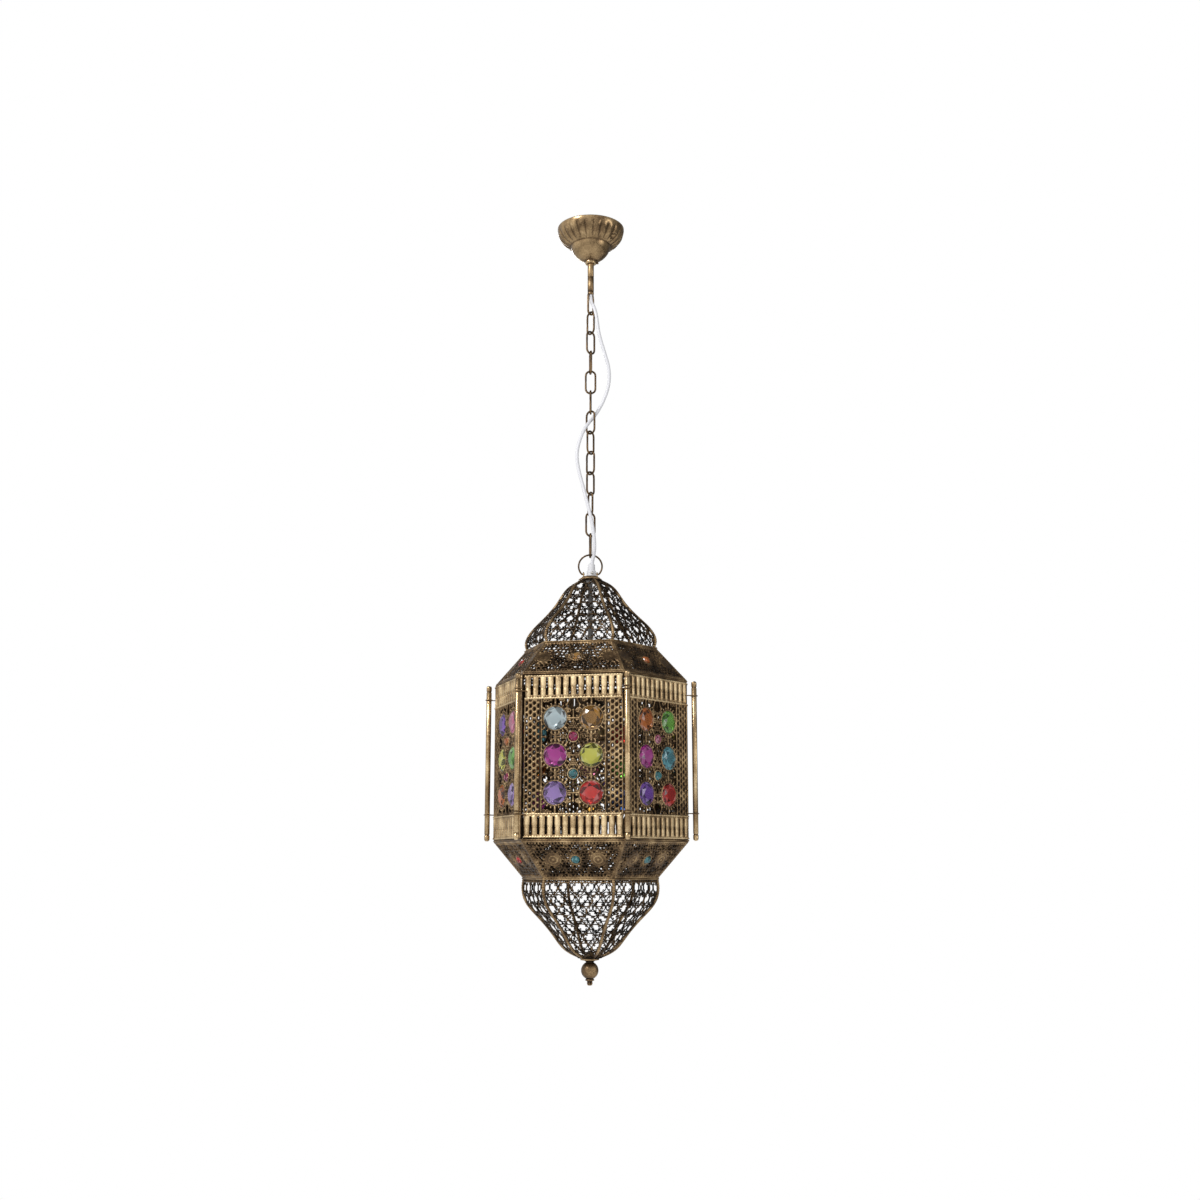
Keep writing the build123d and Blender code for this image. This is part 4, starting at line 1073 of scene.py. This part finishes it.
def even_steps(points, step):
    """Points a fixed step apart along a polyline."""
    p = np.array([list(q) for q in points])
    along = in_turn(p)
    u = np.linspace(0, along[-1], int(along[-1] / step) + 1)
    return np.stack([np.interp(u, along, p[:, k]) for k in range(3)], 1)


def hex_plate(outer, inner, z0, z1):
    """A flat hexagonal ring."""
    low, high = min(z0, z1), max(z0, z1)
    loops = [(outer, low), (outer, high), (inner, high), (inner, low)]
    vertices = [outward(30 + 60 * i) * r + Vector((0, 0, z)) for r, z in loops for i in range(6)]
    return np.array([list(v) for v in vertices]), [grid_faces(4, 6, wrap_rows=True)]


SKIRT_RADIUS = 76.0
BODY_RADIUS = body_apothem / TO_APOTHEM
storey("dome", DOME_CURVE, dome_bottom, 1, 12.4, 5.7, False, 3, dome_brass)
storey("bowl", BOWL_CURVE, bowl_high.z, -1, 14.6, 6.8, True, 8, dome_brass)

# ---- skirts ----
SKIRT_BACK = 1.2


def skirt_sheet(length, medallion_offset, medallion_radius, hole, seed):
    """A plate full of small irregular holes between raised leaves, with a gem's ring and two medallions."""
    rng = np.random.default_rng(seed)

    def half_at(y):
        return (SKIRT_RADIUS + (BODY_RADIUS - SKIRT_RADIUS) * y / length) / 2 - 0.7

    sheet = Lace(half_at(length), 0, length, 0.52)
    sheet.bar(-60, 60, 0, length, 0.1, 0.12)
    pitch = hole * 2.55
    rows = int((length - 6) / (pitch * 0.9))
    for row in range(rows + 1):
        y0 = 3.6 + row * (length - 7.2) / rows
        for k in range(0, 14):
            x0 = (k + 0.5 * (row % 2)) * pitch
            x, y = x0 + rng.uniform(-0.7, 0.7) * (k > 0), y0 + rng.uniform(-0.6, 0.6)
            rx, ry, turn = rng.uniform(0.7, 1.15) * hole, rng.uniform(0.55, 0.95) * hole, rng.uniform(0, 180)
            leaf, length_of, lift = rng.uniform(0, 360), rng.uniform(2.6, 4.2), rng.uniform(0.4, 0.8)
            bead = rng.uniform(0.7, 1.0)
            if x > half_at(y) - 2.4:
                continue
            pierced = rng.uniform() > 0.08
            for side in (-1, 1):
                if pierced:
                    sheet.drill(side * x, y, rx, ry, side * turn)
                    sheet.drill(side * (x + rx * 0.6), y + ry * 0.5, rx * 0.55)
                angle = leaf if side > 0 else 180 - leaf
                sheet.petal(side * (x + pitch * 0.5), y + pitch * 0.3, angle, length_of, 0.85, lift, 0.2)
                sheet.disc(side * (x + pitch * 0.5), y - pitch * 0.1, bead, 0.6, 0.3)
    middle = length / 2
    for side in (-1, 1):
        x = side * medallion_offset
        sheet.disc(x, middle, medallion_radius, 0.3, 0.35, 2.0)
        sheet.ring(x, middle, medallion_radius - 0.8, 0.8, 0.4, 0.5)
        if medallion_offset < 30:
            sheet.ring(x, middle, medallion_radius * 0.5, 0.7, 0.5, 0.9)
            sheet.disc(x, middle, 1.6, 0.6, 0.9)
        for bead_at in sheet.round_about(x, middle, 12):
            sheet.disc(*bead_at(medallion_radius + 1.3), 1.3, 0.7, 0.4)
        edge = np.linspace(0, length, 30)
        sheet.stroke(np.c_[side * half_at(edge), edge], 1.8, 0.5, 0.4)
        for y in np.arange(3, length - 2, 3.0):
            sheet.disc(side * (half_at(y) - 2.2), y, 1.1, 0.7, 0.4)
    sheet.ring(0, middle, 5.6, 1.1, 0.7, 0.7)
    for ray in sheet.round_about(0, middle, 16):
        sheet.stroke([ray(7.0), ray(9.0)], 0.8, 0.6, 0.4)
    sheet.drill(0, middle, 4.7)
    for y in (1.0, length - 1.2):
        sheet.bar(-60, 60, y - 1.2, y + 1.2, 0.8, 0.5, 1.2)
    for k in range(-16, 17):
        sheet.disc(k * 3.4, length - 3.4, 1.3, 0.7, 0.5)
        sheet.disc(k * 3.4, 3.2, 1.1, 0.6, 0.5)
    sheet.keep(half_at(sheet.gy) + 0.2 - np.abs(sheet.gx))
    sheet.keep(np.minimum(sheet.gy, length - sheet.gy))
    return sheet


def skirt(name, narrow, wide, medallion_offset, medallion_radius, hole, seed, gem_names):
    run = (BODY_RADIUS - SKIRT_RADIUS) * TO_APOTHEM
    fall = abs(narrow - wide)
    length = hypot(run, fall)
    down = 1 if narrow > wide else -1
    sheet = skirt_sheet(length, medallion_offset, medallion_radius, hole, seed)

    def place(x, y, z):
        t = y / length
        r = SKIRT_RADIUS * TO_APOTHEM + run * t
        z = z - 0.5
        return np.stack([x, -(r + z * fall / length), narrow - down * fall * t + down * z * run / length], 1)

    vertices, faces, relief = sheet.mesh(SKIRT_BACK, place, 0.6, 1.6)
    if down > 0:
        faces = [f[:, ::-1] for f in faces]
    master = build(f"lace_{name}_front", vertices, faces, skirt_brass, True, relief)
    for i, face in enumerate(FACES):
        side = master if i == 0 else twin(master, f"lace_{name}_{face}", 60 * i)
        fit(side, "lantern", name)
    # roped edges along the corners and round the wide end
    edging = Parts()
    for i in range(6):
        a = outward(30 + 60 * i)
        levels = ((SKIRT_RADIUS - 0.6, narrow), (BODY_RADIUS - 0.6, wide))
        ends = [a * radius + Vector((0, 0, z)) for radius, z in levels]
        edging.add(*tube(even_steps(ends, 0.7), 0.85, 8, twist=rope(2.8, 0.13)))
    rim = hexagon(BODY_RADIUS - 0.4, wide - down * 0.9, 0.8)
    edging.add(*tube(rim, 1.1, 8, closed=True, twist=rope(3.4, 0.16)))
    edging.add(*hex_plate(BODY_RADIUS - 1, BODY_RADIUS - 12, wide, wide - down * 1.8))
    fit(edging.object(f"edging_{name}", rib_brass), "lantern", name)
    stones = Parts()
    kinds = list(dict.fromkeys(gem_names))
    slope = Matrix.Rotation(atan(run / fall) * down, 4, "X")
    centre = place(np.zeros(1), np.full(1, length / 2), np.full(1, 1.0))[0]
    vertices, faces = cut_gem(4.65, 2.6, 1.6, 12)
    for i, gem_name in enumerate(gem_names):
        matrix = turned(60 * i) @ moved(*centre) @ slope.inverted() @ UPRIGHT
        stones.add(vertices, faces, index=kinds.index(gem_name), matrix=matrix)
    thing = stones.object(f"stones_{name}", [gem_materials[n] for n in kinds], smooth=False)
    paint_facet_shading(thing, seed + 5)
    fit(thing, "lantern", "skirt_gems")


RIM = 2.0
upper_gems = ["amber", "orange", "teal", "red", "teal", "red"]
lower_gems = ["teal", "teal", "amber", "red", "orange", "red"]
skirt("upper_skirt", dome_bottom, body_top + RIM, 36, 8, 1.9, 21, upper_gems)
skirt("lower_skirt", bowl_high.z, body_bottom - RIM, 24, 9, 1.65, 34, lower_gems)

# ---- corner rods and clips ----
rods_low, rods_high = box_mm("corner_rods")
ROD_RADIUS = 3.0
ROD_CIRCLE = 118.0


def rod_profile(low, high):
    """Both ends turned alike: a domed tip, a knob and a groove."""
    end = [(0.0, 0.0), (1.4, 0.25), (2.3, 0.8), (2.85, 1.7), (3.0, 2.7), (3.0, 6.2), (2.55, 6.6), (2.55, 7.6)]
    end.append((2.95, 8.0))
    return [(r, low + d) for r, d in end] + [(r, high - d) for r, d in end[::-1]]


rod_parts = Parts()
vertices, faces = lathe(rod_profile(rods_low.z, rods_high.z), 28)
for i in range(6):
    rod_parts.add(vertices, faces, matrix=moved(*outward(30 + 60 * i) * ROD_CIRCLE))
fit(rod_parts.object("rods", rod_brass), "lantern", "corner_rods")

CLIP_HEIGHTS = (-570.0, -700.0)
WIRE = 0.6
DOOR_LOOP = ROD_RADIUS + WIRE + 0.08


def clip(azimuth, side, height, loop, open_back=False):
    """A bent wire: a loop round the rod and two legs that meet at a foot on the panel."""
    rod = outward(azimuth + side * 30) * ROD_CIRCLE
    inward, along = -outward(azimuth), rightward(azimuth) * -side
    drop = ROD_CIRCLE * TO_APOTHEM - body_apothem
    up = Vector((0, 0, height))
    foot = rod + along * 7.8 + inward * (drop - 0.2) + up
    points = [foot, rod + along * 7.2 + inward * 2.4 + up]
    span = np.linspace(20, 250 if open_back else 340, 26)
    for a in np.radians(span):
        points.append(rod + along * (loop * cos(a)) - inward * (loop * sin(a)) + up)
    if not open_back:
        points += [rod + along * 8.4 + inward * 3.4 + up, foot + along * 0.9]
    return tube(rounded(points, 0.8, 3), WIRE, 8)


wires = Parts()
for height in CLIP_HEIGHTS:
    for azimuth, side in ((60, 1), (120, 1), (180, 1), (240, 1), (300, 1), (60, -1)):
        wires.add(*clip(azimuth, side, height, ROD_RADIUS + WIRE))
fit(wires.object("wire_clips", dark_brass), "lantern", "rod_clips")
wires = Parts()
for height in CLIP_HEIGHTS:
    wires.add(*clip(0, -1, height - 3, DOOR_LOOP))
    wires.add(*clip(0, 1, height - 3, DOOR_LOOP, True))
fit(wires.object("door_clips", dark_brass), "door", "panel_front")


# ---- finial ----
tip, top = box_mm("finial")[0].z, bowl_low.z
BALL_RADIUS = 9.5
ball_middle = top - 13.0
profile = [(0, top + 6), (3.9, top + 6), (3.9, top), (9.6, top), (10.5, top - 0.7), (10.0, top - 2.1)]
profile += [(6.4, top - 2.6), (4.6, top - 3.6)]
for a in np.linspace(62, -62, 22):
    profile.append((BALL_RADIUS * cos(radians(a)), ball_middle + BALL_RADIUS * sin(radians(a))))
collar = [(4.2, 9.2), (4.9, 9.7), (4.9, 10.6), (3.4, 11.2), (3.0, 11.8), (3.2, 12.6)]
profile += [(radius, ball_middle - drop) for radius, drop in collar]
profile += [(3.2, tip + 1.8), (2.6, tip + 0.6), (1.4, tip), (0, tip)]


def finial_tabs(angle, i):
    lobes = 0.5 * (np.cos(6 * angle) - 1) if i in (3, 4, 5) else 0 * angle
    return lobes * 1.6, 0 * angle


finial_parts = Parts()
finial_parts.add(*lathe(profile[::-1], 72, finial_tabs))
fit(finial_parts.object("finial_ball", plain_brass), "lantern", "finial")


# ---- ceiling rose ----
def arc3(a, b, c, count):
    """Points of the circle through a, b and c."""
    (ax, ay), (bx, by), (cx, cy) = a, b, c
    d = 2 * (ax * (by - cy) + bx * (cy - ay) + cx * (ay - by))
    ux = ((ax**2 + ay**2) * (by - cy) + (bx**2 + by**2) * (cy - ay) + (cx**2 + cy**2) * (ay - by)) / d
    uy = ((ax**2 + ay**2) * (cx - bx) + (bx**2 + by**2) * (ax - cx) + (cx**2 + cy**2) * (bx - ax)) / d
    a0, a1, a2 = (np.arctan2(y - uy, x - ux) for x, y in (a, b, c))
    a1, a2 = a0 + (a1 - a0 + pi) % (2 * pi) - pi, a0 + (a2 - a0 + pi) % (2 * pi) - pi
    r = np.hypot(ax - ux, ay - uy)
    return [(ux + r * cos(t), uy + r * sin(t)) for t in np.linspace(a0, a2, count)]


rose_low, rose_high = box_mm("canopy")
ROSE_RADIUS, ROSE_FLUTES = rose_high.x, 24
hub_bottom = rose_low.z
outer = [(ROSE_RADIUS, 0), (ROSE_RADIUS, -0.8)]
outer += arc3((ROSE_RADIUS, -2), (35.5, -13.5), (24, -22), 30)
flange_count = len(outer)
outer += arc3((24, -22), (18.5, -33), (6.5, -41), 22)[1:]
outer += [(6.5, -41.6), (6.6, -42.2), (6.6, -43.8), (6.1, hub_bottom), (3.9, hub_bottom), (3.9, -40)]
inner = arc3((38.9, -2), (34.6, -12.8), (23.1, -21), 30)
inner = [(38.9, 0), (38.9, -0.8)] + inner + arc3((23.1, -21), (17.7, -31.8), (6.1, -39.8), 22)[1:]
profile = outer + inner[::-1]


def flutes(angle, i):
    j = i if i < len(outer) else len(profile) - 1 - i
    t = (j - 4) / (flange_count - 6)
    swell = np.clip(np.sin(np.clip(t, 0, 1) * pi) * 1.5, 0, 1)
    wave = np.abs(np.sin(angle * ROSE_FLUTES / 2)) ** 0.8
    return swell * 1.15 * (wave - 0.75), -swell * 0.85 * (wave - 0.75)


rose_parts = Parts()
rose_parts.add(*lathe(profile[::-1], ROSE_FLUTES * 12, flutes))
rose = rose_parts.object("rose", rose_brass)
ROSE_SCREWS, POCKET_FLOOR = 32.0, -12.0
SCREW_AZIMUTH = 67.7
skin_radii, skin_heights = zip(*outer[flange_count - 1 :: -1])


def under_skin(v):
    """The point, or the one above it that lies inside the rose's wall."""
    return Vector((v.x, v.y, max(v.z, np.interp(v.xy.length, skin_radii, skin_heights) + 0.5)))


pocket = [(1.8, POCKET_FLOOR), (1.8, POCKET_FLOOR + 0.9), (4.2, POCKET_FLOOR + 0.9), (4.2, -20), (3.3, -20)]
pocket.append((3.3, POCKET_FLOOR))
head = [(0, -2.4), (1.5, -2.4), (1.5, POCKET_FLOOR), (2.9, POCKET_FLOOR), (2.9, -12.9), (2.3, -13.6)]
head += [(1.3, -14.0), (0, -14.1)]
pockets, screws, drill = Parts(), Parts(), Parts()
for side in (0, 180):
    at = moved(*outward(SCREW_AZIMUTH + side) * ROSE_SCREWS)
    vertices, faces = lathe(pocket, 40)
    pockets.add([under_skin(at @ Vector(v)) for v in vertices], faces)
    screws.add(*lathe(head, 32), matrix=at)
    drill.add(*lathe([(0, -30), (3.6, -30), (3.6, -11.2), (0, -11.2)], 40), matrix=at)
cutter = drill.object("cutter", rose_brass)
cut = rose.modifiers.new("pockets", "BOOLEAN")
cut.operation = "DIFFERENCE"
cut.solver = "EXACT"
cut.object = cutter
bpy.context.view_layer.update()
carved = bpy.data.meshes.new_from_object(rose.evaluated_get(bpy.context.evaluated_depsgraph_get()))
rose.modifiers.clear()
rose.data = carved
bpy.data.objects.remove(cutter)
fit(rose, "ceiling_rose", "canopy")
fit(pockets.object("rose_pockets", rose_brass), "ceiling_rose", "canopy")
grub = [(0, 0), (1.2, 0), (1.2, 2.7), (0.9, 3.2), (0.6, 3.2), (0.5, 2.4), (0, 2.4)]
HUB_MIDDLE = hub_bottom + 1.25
at = turned(CHAIN_AZIMUTH + 90) @ moved(0, -6.2, HUB_MIDDLE) @ UPRIGHT
screws.add(*lathe(grub, 20), matrix=at)
fit(screws.object("rose_screws", dark_brass), "ceiling_rose", "canopy_screws")

# ---- hook ----
hook_low, hook_high = box_mm("hook")
STEM_RADIUS, STEM_BORE, STEM_BOTTOM = 3.75, 2.5, -84.0
LINK_WIRE = 2.4
EYE_YAW, EYE_WIDTH = 43, 10.8
profile = [(STEM_BORE, hook_high.z), (STEM_RADIUS, hook_high.z)]
for groove in (-61.2, -79.4):
    profile += [(STEM_RADIUS, groove), (3.5, groove - 0.3), (3.5, groove - 0.9), (STEM_RADIUS, groove - 1.2)]
profile += [(STEM_RADIUS, -83.4), (3.3, STEM_BOTTOM), (STEM_BORE, STEM_BOTTOM)]
hook_parts = Parts()
hook_parts.add(*lathe(profile[::-1], 40))


def stadium(width, height, wire, steps=14):
    """The middle line of an upright oval loop: x across, z up."""
    r, straight = (width - wire) / 2, (height - width) / 2
    points = []
    for a in np.linspace(0, pi, steps):
        points.append((r * cos(a), 0, straight + r * sin(a)))
    for z in np.linspace(straight, -straight, 7)[1:-1]:
        points.append((-r, 0, z))
    for a in np.linspace(pi, 2 * pi, steps):
        points.append((r * cos(a), 0, -straight + r * sin(a)))
    for z in np.linspace(-straight, straight, 7)[1:-1]:
        points.append((r, 0, z))
    return points


eye_top, eye_bottom = STEM_BOTTOM + 3, hook_low.z
loop = stadium(EYE_WIDTH, eye_top - eye_bottom, LINK_WIRE)
middle = (eye_top + eye_bottom) / 2
# the eye's sides end in the stem, so its upper bow is left out
open_below = STEM_BOTTOM + 1.5 - middle
start = next(k for k, p in enumerate(loop) if p[0] < 0 and p[2] < open_below)
sides = [p for p in loop[start:] if p[2] < open_below]
eye = [(-3.0, 0, STEM_BOTTOM + 1.0 - middle)] + sides + [(3.0, 0, STEM_BOTTOM + 1.0 - middle)]
at = moved(0, 0, middle) @ turned(CHAIN_AZIMUTH + EYE_YAW)
hook_parts.add(*tube(rounded(eye, 1.0, 3), LINK_WIRE / 2, 14), matrix=at)
fit(hook_parts.object("hook_stem", plain_brass), "ceiling_rose", "hook")

# ---- chain ----
LINK_YAWS = [-47, 40, 98, 0, 88, -36, 50, -42, 45, -65, 30, -85]
LINK_LENGTH, LINK_WIDTH = 29.9, 13.8


def weld(along, angle):
    """A link's bar is a little uneven, and narrows at its welded joint."""
    return 1 + 0.03 * np.sin(along * 1.1 + angle) - 0.03 - 0.10 * np.exp(-(((along - 26.0) / 0.5) ** 2))


link_line = stadium(LINK_WIDTH, LINK_LENGTH, LINK_WIRE, 18)
first_link = build("chain_link_01", *tube(link_line, LINK_WIRE / 2, 14, closed=True, twist=weld), dark_brass)
for i, yaw in enumerate(LINK_YAWS):
    name = f"link_{i + 1:02d}"
    low, high = box_mm(name)
    link = twin(first_link, "chain_" + name, 0) if i else first_link
    link.location = Vector((0, 0, (low.z + high.z) / 2)) * MM
    link.rotation_euler = (0, 0, radians(CHAIN_AZIMUTH + yaw))
    fit(link, name, name)

# ---- bail ring ----
ring_high = box_mm("bail_ring")[1]
RING_WIRE, RING_RADIUS, RING_END = 2.0, 13.5, 47.0
ring_middle = ring_high.z - RING_WIRE / 2 - RING_RADIUS
pin_height = ring_middle - RING_RADIUS * cos(radians(RING_END))
end_x = RING_RADIUS * sin(radians(RING_END))
points = [(end_x - 3.3, 0, pin_height), (end_x - 1.2, 0, pin_height)]
for a in np.linspace(RING_END - 90, 270 - RING_END, 64):
    points.append((RING_RADIUS * cos(radians(a)), 0, ring_middle + RING_RADIUS * sin(radians(a))))
points += [(-x, y, z) for x, y, z in points[1::-1]]
ring_parts = Parts()
ring_parts.add(*tube(points, RING_WIRE / 2, 14), matrix=turned(CHAIN_AZIMUTH))
fit(ring_parts.object("bail", dark_brass), "bail_ring", "bail_ring")

# ---- cap ----
cap_bottom = box_mm("cap")[0].z
cap_top = cap_bottom + 3.0
EAR_MIDDLE, EAR_THICKNESS, EAR_HALF = 7.8, 1.6, 2.4
cap_parts = Parts()
plate = [(3.9, 0), (11.0, 0), (11.5, 0.4), (11.5, 1.2), (11.1, 1.6), (9.8, 1.7), (9.6, 2.0), (9.5, 2.6), (9.0, 3.0)]
plate.append((3.9, 3.0))
cap_parts.add(*lathe([(radius, cap_bottom + rise) for radius, rise in plate], 64))
for side in (-1, 1):
    ear = Lace(EAR_HALF + 0.5, cap_top - pin_height - 0.4, EAR_HALF + 0.2, 0.2)
    ear.stroke([(0, cap_top - pin_height - 2.0), (0, 0)], EAR_HALF, 0.25)
    ear.drill(0, 0, RING_WIRE / 2 + 0.3)
    ear.keep(ear.gy - (cap_top - pin_height - 0.4))
    front = side * EAR_MIDDLE

    def on_ear(x, y, z):
        return np.stack([x, -(front + z + EAR_THICKNESS / 2 - 0.25), pin_height + y], 1)

    vertices, faces, relief = ear.mesh(EAR_THICKNESS - 0.25, on_ear, 0.3)
    cap_parts.add(vertices, faces, matrix=turned(CHAIN_AZIMUTH + 90))
fit(cap_parts.object("cap_plate", plain_brass), "lantern", "cap")

# ---- cord grip, inner cord and lamp holder ----
grip_low, grip_high = box_mm("cord_grip")
GRIP_SHOULDER, GRIP_OFFSET = -422.5, 1.2
grip_parts = Parts()
seat, crown = cap_top, grip_high.z
profile = [(0, seat), (5.0, seat), (5.3, seat + 0.4), (5.3, seat + 2.4), (5.0, seat + 2.8), (5.0, seat + 3.4)]
profile += [(5.3, seat + 3.8), (5.3, GRIP_SHOULDER - 0.6), (4.7, GRIP_SHOULDER), (4.2, GRIP_SHOULDER + 0.5)]
profile += [(4.1, crown - 1.4), (3.6, crown - 0.5), (2.9, crown), (2.3, crown - 0.3), (2.2, crown - 3)]
profile.append((0, crown - 3))


def grip_ribs(angle, i):
    ribbed = 0.16 * (np.cos(angle * 16) - 1) if i in (6, 7) else 0 * angle
    return ribbed, 0 * angle


offset = rightward(CHAIN_AZIMUTH) * GRIP_OFFSET
grip_parts.add(*lathe(profile, 96, grip_ribs), matrix=moved(*offset))
foot = grip_low.z
grip_parts.add(*lathe([(0, foot), (3.6, foot), (3.8, foot + 0.3), (3.8, seat + 0.5), (0, seat + 0.5)], 40))
fit(grip_parts.object("grip_body", white_nylon), "lantern", "cord_grip")
GRIP_SCREW_HEIGHT = -426.4
at = turned(CHAIN_AZIMUTH + 20) @ moved(0, -6.0, GRIP_SCREW_HEIGHT) @ UPRIGHT
screw_parts = Parts()
screw_parts.add(*lathe([(0, 0), (1.5, 0), (1.5, 1.3), (1.2, 1.7), (0, 1.75)], 24), matrix=at)
fit(screw_parts.object("grip_set_screw", zinc), "lantern", "grip_screw")

sleeve_low, sleeve_high = box_mm("sleeved_cord")
sleeve_parts = Parts()
sleeve_points = [(0, 0, z) for z in np.linspace(sleeve_high.z, sleeve_low.z - 0.2, 260)]


def braid(along, angle):
    return 0.97 + 0.03 * np.sin(along * 2 * pi / 1.6 + 4 * angle) * np.sin(along * 2 * pi / 1.6 - 4 * angle)


sleeve_parts.add(*tube(sleeve_points, 2.75, 24, twist=braid))
fit(sleeve_parts.object("sleeve", grey_braid), "lantern", "sleeved_cord")

holder_low, holder_high = box_mm("lamp_holder")
low, high = holder_low.z, holder_high.z
HOLDER_FLOOR = -588.0
shoulder = [(0, 0), (7.4, 0), (8.0, 0.5), (8.4, 2.4), (9.5, 3.4), (17.6, 13.6), (18.4, 14.6), (19.2, 15.4)]
shoulder += [(19.2, 16.4), (18.8, 17.0), (19.3, 17.8), (19.5, 19)]
profile = [(radius, high - drop) for radius, drop in shoulder]
for k in range(7):
    z = high - 20.5 - k * 2.2
    profile += [(19.5, z), (19.05, z - 0.5), (19.05, z - 1.1), (19.5, z - 1.6)]
profile += [(19.5, low + 1.6), (19.1, low + 0.5), (18.4, low), (13.9, low), (13.45, low + 0.5)]
for k in range(5):
    z = low + 3.5 + k * 3.6
    profile += [(13.45, z), (14.2, z + 0.9), (14.2, z + 1.7), (13.45, z + 2.6)]
profile += [(13.45, HOLDER_FLOOR), (0, HOLDER_FLOOR)]
holder_parts = Parts()
holder_parts.add(*lathe(profile[::-1], 72))
fit(holder_parts.object("holder_shell", plain_brass), "lantern", "lamp_holder")

# ---- the plain inner parts keep their CAD shape ----
for node, material in {
    "crossbar": zinc,
    "stem_nut": zinc,
    "grip_nut": zinc,
    "terminal_block": glaze,
    "holder_contact": glaze,
    "canopy_lead": white_pvc,
}.items():
    thing = frame["nodes"][node]
    thing.data.materials.clear()
    thing.data.materials.append(material)
    if node != "canopy_lead":
        edge = thing.modifiers.new("edges", "BEVEL")
        edge.width = 0.0003
        edge.segments = 2
        edge.limit_method = "ANGLE"
        edge.angle_limit = radians(40)
flex_curve.materials.append(white_pvc)


# ======== stage ========
floor_material, graph, inputs = new_material("pale_floor")
graph.feed(inputs["Base Color"], (0.95, 0.95, 0.95, 1))
graph.feed(inputs["Roughness"], 0.9)
graph.feed(inputs["Emission Color"], (1, 1, 1, 1))
graph.feed(inputs["Emission Strength"], 0.3)
floor_mesh = bpy.data.meshes.new("floor")
REACH, DEPTH = 4.2, -2.3
floor_corners = [(x, y, DEPTH) for x, y in ((-REACH, -REACH), (REACH, -REACH), (REACH, REACH), (-REACH, REACH))]
floor_mesh.from_pydata(floor_corners, [], [(0, 1, 2, 3)])
floor_mesh.materials.append(floor_material)
floor = bpy.data.objects.new("floor", floor_mesh)
scene.collection.objects.link(floor)

world = bpy.data.worlds.new("studio")
world.use_nodes = True
graph = Graph(world.node_tree)
split = graph.node("SeparateXYZ", "X", {0: graph.node("TexCoord", "Generated")}).node.outputs
upward = graph.level(split["Z"], -1, 1, 0, 1)
# brightest round the horizon and from the front left, which gives the metal its contrast
bands = [(0.0, 0.25), (0.3, 0.4), (0.42, 1.0), (0.72, 1.0), (0.85, 0.4), (1.0, 0.3)]
sky = graph.ramp(upward, [(at, (glow, glow, glow)) for at, glow in bands])
toward = graph.math("ADD", graph.math("MULTIPLY", split["X"], -0.5), graph.math("MULTIPLY", split["Y"], -0.85))
room = graph.math("MULTIPLY", sky, graph.level(toward, -0.9, 0.9, 0.15, 1.1))
# the backdrop itself is plain white
strength = graph.math("MAXIMUM", room, graph.node("LightPath", "Is Camera Ray"))
background = graph.nodes["Background"].inputs
graph.feed(background["Strength"], strength)
graph.feed(background["Color"], (1, 1, 1, 1))
scene.world = world


def area_light(name, azimuth, height, distance, size, power):
    data = bpy.data.lights.new(name, "AREA")
    data.size = size
    data.energy = power
    lamp = bpy.data.objects.new(name, data)
    scene.collection.objects.link(lamp)
    lamp.location = outward(azimuth) * distance + Vector((0, 0, height))
    aim = Vector((0, 0, -0.55)) - lamp.location
    lamp.rotation_euler = aim.to_track_quat("-Z", "Y").to_euler()


area_light("key", -35, 0.9, 2.2, 0.5, 34)
area_light("fill", 70, -0.2, 2.4, 1.0, 10)
area_light("back", 195, 0.6, 2.2, 0.8, 16)
scene.view_settings.view_transform = "Standard"
